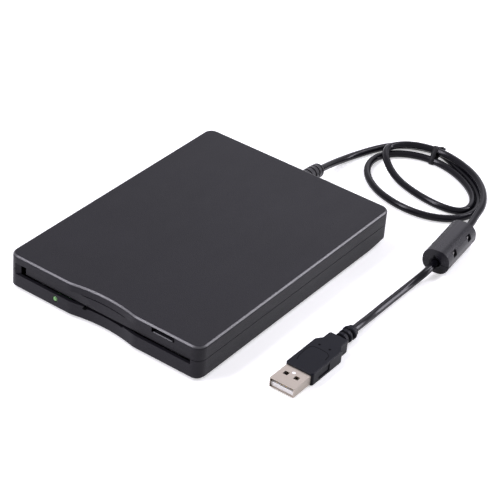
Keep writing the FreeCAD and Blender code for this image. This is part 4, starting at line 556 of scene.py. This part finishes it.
def gullWings(x, y, half):
    # gull-wing legs down both sides of one chip
    level, made = boardPlan["level"], []
    count = int((2 * half - legPlan["margin"]) / legPlan["pitch"])
    for i in range(count + 1):
        at = y - count * legPlan["pitch"] / 2 + i * legPlan["pitch"]
        width = (at - legPlan["half"], at + legPlan["half"])
        for side in (-1, 1):
            near, knee, toe = (x + side * (half + legPlan[key]) for key in ("near", "knee", "toe"))
            high, thick = level + legPlan["high"], legPlan["thick"]
            made.append(box(sorted((near, knee)), width, (high - thick, high)))
            made.append(box(sorted((knee - side * thick, knee)), width, (level, high)))
            made.append(box(sorted((knee, toe)), width, (level, level + legPlan["foot"])))
    return made


def smallPart(x, y):
    # one ceramic part with a tinned cap at both ends
    level, (long, wide, high) = boardPlan["level"], partPlan["body"]
    across = (y - partPlan["capHalf"], y + partPlan["capHalf"])
    return (box((x - long, x + long), (y - wide, y + wide), (level, level + high)),
            [box((x + a, x + a + partPlan["capWide"]), across, (level, level + partPlan["capHigh"]))
             for a in partPlan["caps"]])


legs = [leg for chip in boardPlan["chips"] for leg in gullWings(*chip)]
parts = [smallPart(*spot) for spot in boardPlan["drive"] + boardPlan["usb"]]
bodies, caps = [body for body, caps in parts], [cap for body, caps in parts for cap in caps]
piece("chipLegs", together(*legs), "padTin", "base", smooth=False)
piece("chipParts", together(*bodies), "partCeramic", "base", smooth=False)
piece("partCaps", together(*caps), "padTin", "base", smooth=False)

print("finger notch and eject key")
# the shadow at the left end of the notch below the slot
notchPlan = {"x": (-10.4, -9.0), "y": (-70.35, -69.4), "z": (7.22, 7.85)}
piece("notchShade", box(**notchPlan), "moldLine", "base", smooth=False)

# the lip that a finger meets and the dark stem behind it, each from left to right; the stem's near-black
# finish is painted shade in the recess behind the lip
keyPlan = {"lip": (27.5, 37.2), "whole": (26.6, 38.1), "front": -70.8, "low": 14.4, "lipTop": 14.7,
           "bevel": 0.2, "ledge": (0.5, 0.6), "sunk": (0.16, 0.18), "back": -58.2, "heel": -62.5,
           "heelLow": 14.35, "top": 16.4, "trough": 2.2, "lap": 0.1}


def keyShapes():
    front, back, low, top, lipTop = (keyPlan[key] for key in ("front", "back", "low", "top", "lipTop"))
    heel, heelLow, behindLip = keyPlan["heel"], keyPlan["heelLow"], front + keyPlan["trough"]
    lap = behindLip + keyPlan["lap"]
    lip = [(front, low), (front, lipTop - keyPlan["bevel"]), (front + keyPlan["bevel"], lipTop),
           (front + keyPlan["ledge"][0], lipTop), (front + keyPlan["ledge"][1], lipTop - keyPlan["sunk"][0]),
           (lap, lipTop - keyPlan["sunk"][1]), (lap, low)]
    stem = [(behindLip, low), (behindLip, top), (back, top), (back, heelLow), (heel, heelLow), (heel, low)]
    return prism(lip, *keyPlan["lip"]), prism(stem, *keyPlan["whole"])


lipShape, stemShape = keyShapes()
key = piece("ejectKey", lipShape, "buttonBlack", "eject", smooth=False)
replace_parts(key, "eject_button")
piece("ejectKeyStem", stemShape, "moldLine", "eject", smooth=False)

print("cord")
cordPlan = {
    "radius": 1.75, "turn": -20, "centre": (40, 122), "stepsPerQuarter": 4, "spread": 1.019,
    # x and y of each turn's outermost places in the turned frame, with the height there
    "extremes": [(-5.0, 22.0, 1.75), (31.6, -0.5, 1.75), (-2.0, -24.8, 1.75), (-30.0, -4.2, 1.75),
                 (-2.5, 18.3, 1.75), (27.2, 1.6, 1.75), (-5.5, -10.3, 1.75), (-30.2, 1.8, 5.35),
                 (-3.0, 22.2, 5.3)],
    # the last stretch over the turns, in the same frame
    "overLoops": [(8.5, 21.8, 5.4), (17.5, 18.8, 5.5), (25.8, 14.0, 5.7), (33.0, 7.2, 5.7),
                  (37.6, -0.8, 5.2)],
    "caseEnd": [(1.5, 63.2, 10.2), (1.5, 79.5, 10.2), (-2.6, 110.3, 1.75), (5.2, 134.2, 1.75),
                (13.0, 144.9, 1.75), (22.6, 149.9, 1.75), (31.4, 150.9, 1.75)],
    "plugEnd": [(77.0, 101.0, 5.0), (81.9, 58.0, 5.0), (79.6, 47.0, 1.75), (79.5, 26.0, 1.75),
                (79.6, 14.0, 1.75), (80.3, 5.0, 3.1), (80.3, -11.5, 3.1)],
}


def ease(t):
    t = min(1, max(0, t))
    return t * t * (3 - 2 * t)


def loopPoints():
    # every stretch between two neighbouring extremes is a quarter of an ellipse
    places, count, grow = cordPlan["extremes"], cordPlan["stepsPerQuarter"], cordPlan["spread"]
    found = []
    for i, ((x0, y0, z0), (x1, y1, z1)) in enumerate(zip(places, places[1:])):
        for k in range(count):
            turn = math.pi / 2 * k / count
            rise, fall = math.sin(turn), math.cos(turn)
            if i % 2 == 0:     # from a far or near place the cord first runs along x
                x, y = x0 + grow * (x1 - x0) * rise, y1 + grow * (y0 - y1) * fall
            else:
                x, y = x1 + grow * (x0 - x1) * fall, y0 + grow * (y1 - y0) * rise
            found.append((x, y, z0 + (z1 - z0) * ease(1.5 * k / count)))
    x, y, z = places[-1]
    return found + [(x, y * grow, z)]


loops = [turned(cordPlan, *spot) for spot in loopPoints() + cordPlan["overLoops"]]
route = cordPlan["caseEnd"] + loops + cordPlan["plugEnd"]
line = bpy.data.curves.new("cord", "CURVE")
line.dimensions = "3D"
line.bevel_depth, line.bevel_resolution, line.resolution_u = cordPlan["radius"] * mm, 8, 12
spline = line.splines.new("NURBS")
spline.points.add(len(route) - 1)
for point, place in zip(spline.points, route):
    point.co = (*(Vector(place) * mm), 1)
spline.order_u, spline.use_endpoint_u = 3, True
line.materials.append(finishes["cordJacket"])
cord = bpy.data.objects.new("cord", line)
bpy.context.collection.objects.link(cord)
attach(cord, "base")
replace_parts(cord, "cord_case_end", "cord_coil", "cord_plug_end")

print("tie, plug and clamp details")
# what lies on the cord and goes with it
cordCompany = [nodes[name] for name in ("ferrite_base", "ferrite_lid", "base_core", "lid_core",
                                        "plug_overmould", "plug_shell", "plug_tongue", "plug_contacts")]


def onCord(name, shape, finish, body, smooth=True):
    made = piece(name, shape, finish, body, smooth)
    cordCompany.append(made)
    return made


# "cords" are the strands' places across the tie and their heights; "tails" are place, height, reach and rise
tiePlan = {"centre": (30.1, 146.6), "turn": -78, "cords": [(-3.91, 1.75), (0.72, 5.3), (4.71, 1.75)],
           "slack": 0.04, "thick": 0.45, "wide": 2.3, "lowest": (0.3, 0.02),
           "tails": [(-3.6, 4.4, 2.4, 0.5), (-2.0, 5.6, 1.9, 0.8)], "tailRadius": 0.55}


def tightBand(steps=48):
    # a flat band drawn tight round the strands, with its underside on the table
    rings = []
    for layer, lowest in zip((0.0, tiePlan["thick"]), tiePlan["lowest"]):
        grow = cordPlan["radius"] + tiePlan["slack"] + layer
        for edge in (-0.5, 0.5):
            for ahead in around(steps):
                a, z = max(tiePlan["cords"], key=lambda spot: spot[0] * ahead[0] + spot[1] * ahead[1])
                rings.append(turned(tiePlan, a + grow * ahead[0], edge * tiePlan["wide"],
                                    max(lowest, z + grow * ahead[1])))
    return rings, [face for first, second in ((0, 1), (1, 3), (3, 2), (2, 0))
                   for face in strip(first * steps, second * steps, steps)]


def tieTail(a, z, reach, rise):
    line = [(a, 0.6, z), (a, 1.6, z + 0.3), (a - 0.2, 1.2 + reach * 0.6, z + rise * 0.5),
            (a - 0.3, 1.2 + reach, z + rise * 0.4)]
    return sweep([turned(tiePlan, *spot) for spot in line], tiePlan["tailRadius"])


tails = [tieTail(*tail) for tail in tiePlan["tails"]]
tie = onCord("cordTie", together(tightBand(), *tails), "tieSleeve", "base")
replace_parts(tie, "cord_tie")

# "rings" are places along the plug and radii; "ringSide" is a ring's profile, as y and what the radius lacks
plugPlan = {"centre": (80.3, 3.1), "top": 6.2, "rings": [(-9.5, 3.1), (-6.5, 3.35), (-3.5, 3.55)],
            "ringSide": [(-0.9, 0.55), (-0.6, 0.08), (-0.3, 0), (0.4, 0), (0.7, 0.1), (0.9, 0.55)],
            "tall": 0.87, "grooves": [(-11.2, -10.3), (-8.7, -7.3), (-5.7, -4.3)], "grooveRadius": 2.73,
            "arch": [(76.2, -36.7), (75.3, -34.0), (75.0, -29.5), (75.3, -26.2), (76.4, -24.9),
                     (79.6, -24.7), (83.2, -24.9), (85.0, -26.2), (85.4, -29.5)],
            "archSunk": 0.06, "archRadius": 0.14,
            "dots": [(77.5, -22.3), (82.7, -22.3)], "dotRadius": 0.55, "dotSpan": (-0.2, 0.02),
            "dimple": (80.05, -44.2, 0.75, (5.3, 5.37), 24)}
bands = [spun([(y + along, radius - less) for along, less in plugPlan["ringSide"]], plugPlan["centre"],
              tall=plugPlan["tall"]) for y, radius in plugPlan["rings"]]
# the grooves between the rings take the near-black finish: painted shade in them
hollows = [spun([(y, plugPlan["grooveRadius"]) for y in span], plugPlan["centre"])
           for span in plugPlan["grooves"]]
archLevel = plugPlan["top"] - plugPlan["archSunk"]
arch = sweep([(x, y, archLevel) for x, y in plugPlan["arch"]], plugPlan["archRadius"])
dotSpan = [plugPlan["top"] + end for end in plugPlan["dotSpan"]]
dots = [disc(x, y, plugPlan["dotRadius"], dotSpan, 16) for x, y in plugPlan["dots"]]
onCord("plugRings", together(*bands), "plugGrip", "base")
onCord("plugGrooveShade", together(*hollows), "moldLine", "base")
onCord("plugArch", arch, "moldLine", "base")
onCord("plugDots", together(*dots), "moldLine", "base", smooth=False)
onCord("shellDimple", disc(*plugPlan["dimple"]), "rodSteel", "base", smooth=False)

# x, y and z in the clamp's own frame, y from its plug end
clampPlan = {"centre": (81.28, 63.4), "turn": 6.5, "long": 28.8, "axis": 5.05, "latches": (6.8, 22.0),
             "hook": ((5.0, 5.25), (-1.5, 0.3), (7.7, 9.15)),
             "notch": ((-5.12, -4.2), (-1.1, 1.1), (9.5, 10.35)),
             "seams": [((6.2, 6.505), (0.0, 3.4), (4.72, 5.16)), ((6.2, 6.505), (25.4, 28.8), (4.72, 5.16)),
                       ((2.6, 6.3), (-0.03, 0.3), (4.8, 5.12))],
             "collar": [(0.15, 3.0), (0.3, 2.2), (0.5, 1.85), (1.4, 1.85)],
             "entry": [(-1.5, 7.0), (-1.3, 8.9), (-0.95, 9.0), (0.6, 7.2)], "entryDeep": (-0.03, 0.3)}


def clampBlock(x, y, z):
    return prism(corners(x, y), *z, lambda z, x, y: turned(clampPlan, x, y, z))


def atLatches(x, y, z):
    return together(*(clampBlock(x, (middle + y[0], middle + y[1]), z) for middle in clampPlan["latches"]))


def halfCollars(upper):
    # the lips that close round the cord at both ends, of the lid or of the lower half
    axis, long = clampPlan["axis"], clampPlan["long"]
    points, faces = spun(clampPlan["collar"], (0, axis))
    faces = [face for face in faces[:-2] if (sum(points[i][2] for i in face) / 4 > axis) == upper]
    near = [turned(clampPlan, x, y, z) for x, y, z in points]
    far = [turned(clampPlan, x, long - y, z) for x, y, z in points]
    return together((near, faces), (far, faces))


# a dark wedge on the lid's plug end, above the cord: painted shadow where the cord enters
entry = prism(clampPlan["entry"], *clampPlan["entryDeep"], lambda y, x, z: turned(clampPlan, x, y, z))
seams = together(*(clampBlock(*seam) for seam in clampPlan["seams"]))
# a pale face on each hook seen through the lid's windows: painted highlight
onCord("clampHooks", atLatches(*clampPlan["hook"]), "hookPale", "base", smooth=False)
onCord("clampSeams", seams, "moldLine", "base", smooth=False)
onCord("lowerCollars", halfCollars(False), "ferriteShell", "base")
onCord("lidCollars", halfCollars(True), "ferriteShell", "clamp_lid")
onCord("lidNotches", atLatches(*clampPlan["notch"]), "moldLine", "clamp_lid",
       smooth=False)
onCord("clampEntryShadow", entry, "moldLine", "clamp_lid", smooth=False)

print("camera, light and floor")
viewPlan = {"lens": 139.553, "place": (0.40663, -0.57768, 0.48833), "turn": 33.513, "climb": 34.19,
            "roll": 5.108}
turn, climb, roll = (math.radians(viewPlan[key]) for key in ("turn", "climb", "roll"))
# the camera's own axes: behind it, to its right and above it, before the roll
behind = Vector((math.sin(turn) * math.cos(climb), -math.cos(turn) * math.cos(climb), math.sin(climb)))
across = Vector((math.cos(turn), math.sin(turn), 0))
above = behind.cross(across)
columns = [across * math.cos(roll) + above * math.sin(roll),
           above * math.cos(roll) - across * math.sin(roll), behind]
lensData = bpy.data.cameras.new("view")
lensData.lens, lensData.sensor_width, lensData.clip_start = viewPlan["lens"], 36, 0.01
camera = bpy.data.objects.new("view", lensData)
camera.matrix_world = Matrix.Translation(viewPlan["place"]) @ Matrix(columns).transposed().to_4x4()
bpy.context.collection.objects.link(camera)
bpy.context.scene.camera = camera

studio = {
    "sky": 0.24, "skyColour": (0.95, 0.94, 1.0), "lampColour": (0.97, 0.94, 1.05), "paper": 0.45,
    "target": (0.02, 0.03, 0), "floorHalf": 3,
    # towards each lamp, the way its long side runs, its distance, width, length and power
    "lamps": {"edgeStrip": ((-0.46, -0.58, 0.66), (0, 0.775, 0.632), 0.85, 0.12, 1.6, 10.5),
              "sideStrip": ((0.58, 0.69, 0.44), (-0.56, 0, 0.83), 0.85, 0.12, 1.5, 9.0),
              "backLamp": ((-0.35, 0.8, 0.55), (0, 0.5, 0.8), 1.1, 0.5, 0.5, 0.8)},
}
for name, (direction, along, distance, width, length, power) in studio["lamps"].items():
    lampData = bpy.data.lights.new(name, "AREA")
    lampData.shape, lampData.size, lampData.size_y, lampData.energy = "RECTANGLE", width, length, power
    lampData.color = studio["lampColour"]
    lamp = bpy.data.objects.new(name, lampData)
    direction = Vector(direction).normalized()
    sideways = Vector(along).cross(direction).normalized()
    facing = Matrix([sideways, direction.cross(sideways), direction]).transposed()
    lamp.matrix_world = Matrix.Translation(Vector(studio["target"]) + direction * distance) @ facing.to_4x4()
    bpy.context.collection.objects.link(lamp)
sky = bpy.data.worlds.new("studio")
bpy.context.scene.world = sky
bpy.context.scene.view_settings.view_transform = "Standard"


def plainWhite(made):
    # one or more for the rays that should meet plain white, nothing for the rays that light the object
    rays = "Is Camera Ray", "Is Glossy Ray", "Is Transmission Ray"
    return sum((made.add("ShaderNodeLightPath", out=ray) for ray in rays), 0.0)


heaven = Finish(sky, "Background")
heaven.wear(Color=studio["skyColour"],
            Strength=(plainWhite(heaven) > 0.5) * (1 - studio["sky"]) + studio["sky"])
floorMesh = bpy.data.meshes.new("floor")
half = (-studio["floorHalf"], studio["floorHalf"])
floorMesh.from_pydata([(x, y, 0) for x, y in corners(half, half)], [], [(0, 1, 2, 3)])
floor = bpy.data.objects.new("floor", floorMesh)
bpy.context.collection.objects.link(floor)
paper = material("floorPaper")
fibre = paper.noise(3, 3)
paper.wear(Base_Color=paper.blend(fibre, (0.9, 0.9, 0.9), (0.93, 0.93, 0.93)), Roughness=0.9,
           Specular_IOR_Level=0.1, Emission_Color=(1.0, 1.0, 1.0),
           Emission_Strength=(plainWhite(paper) > 0.5) * studio["paper"])
floorMesh.materials.append(paper.owner)
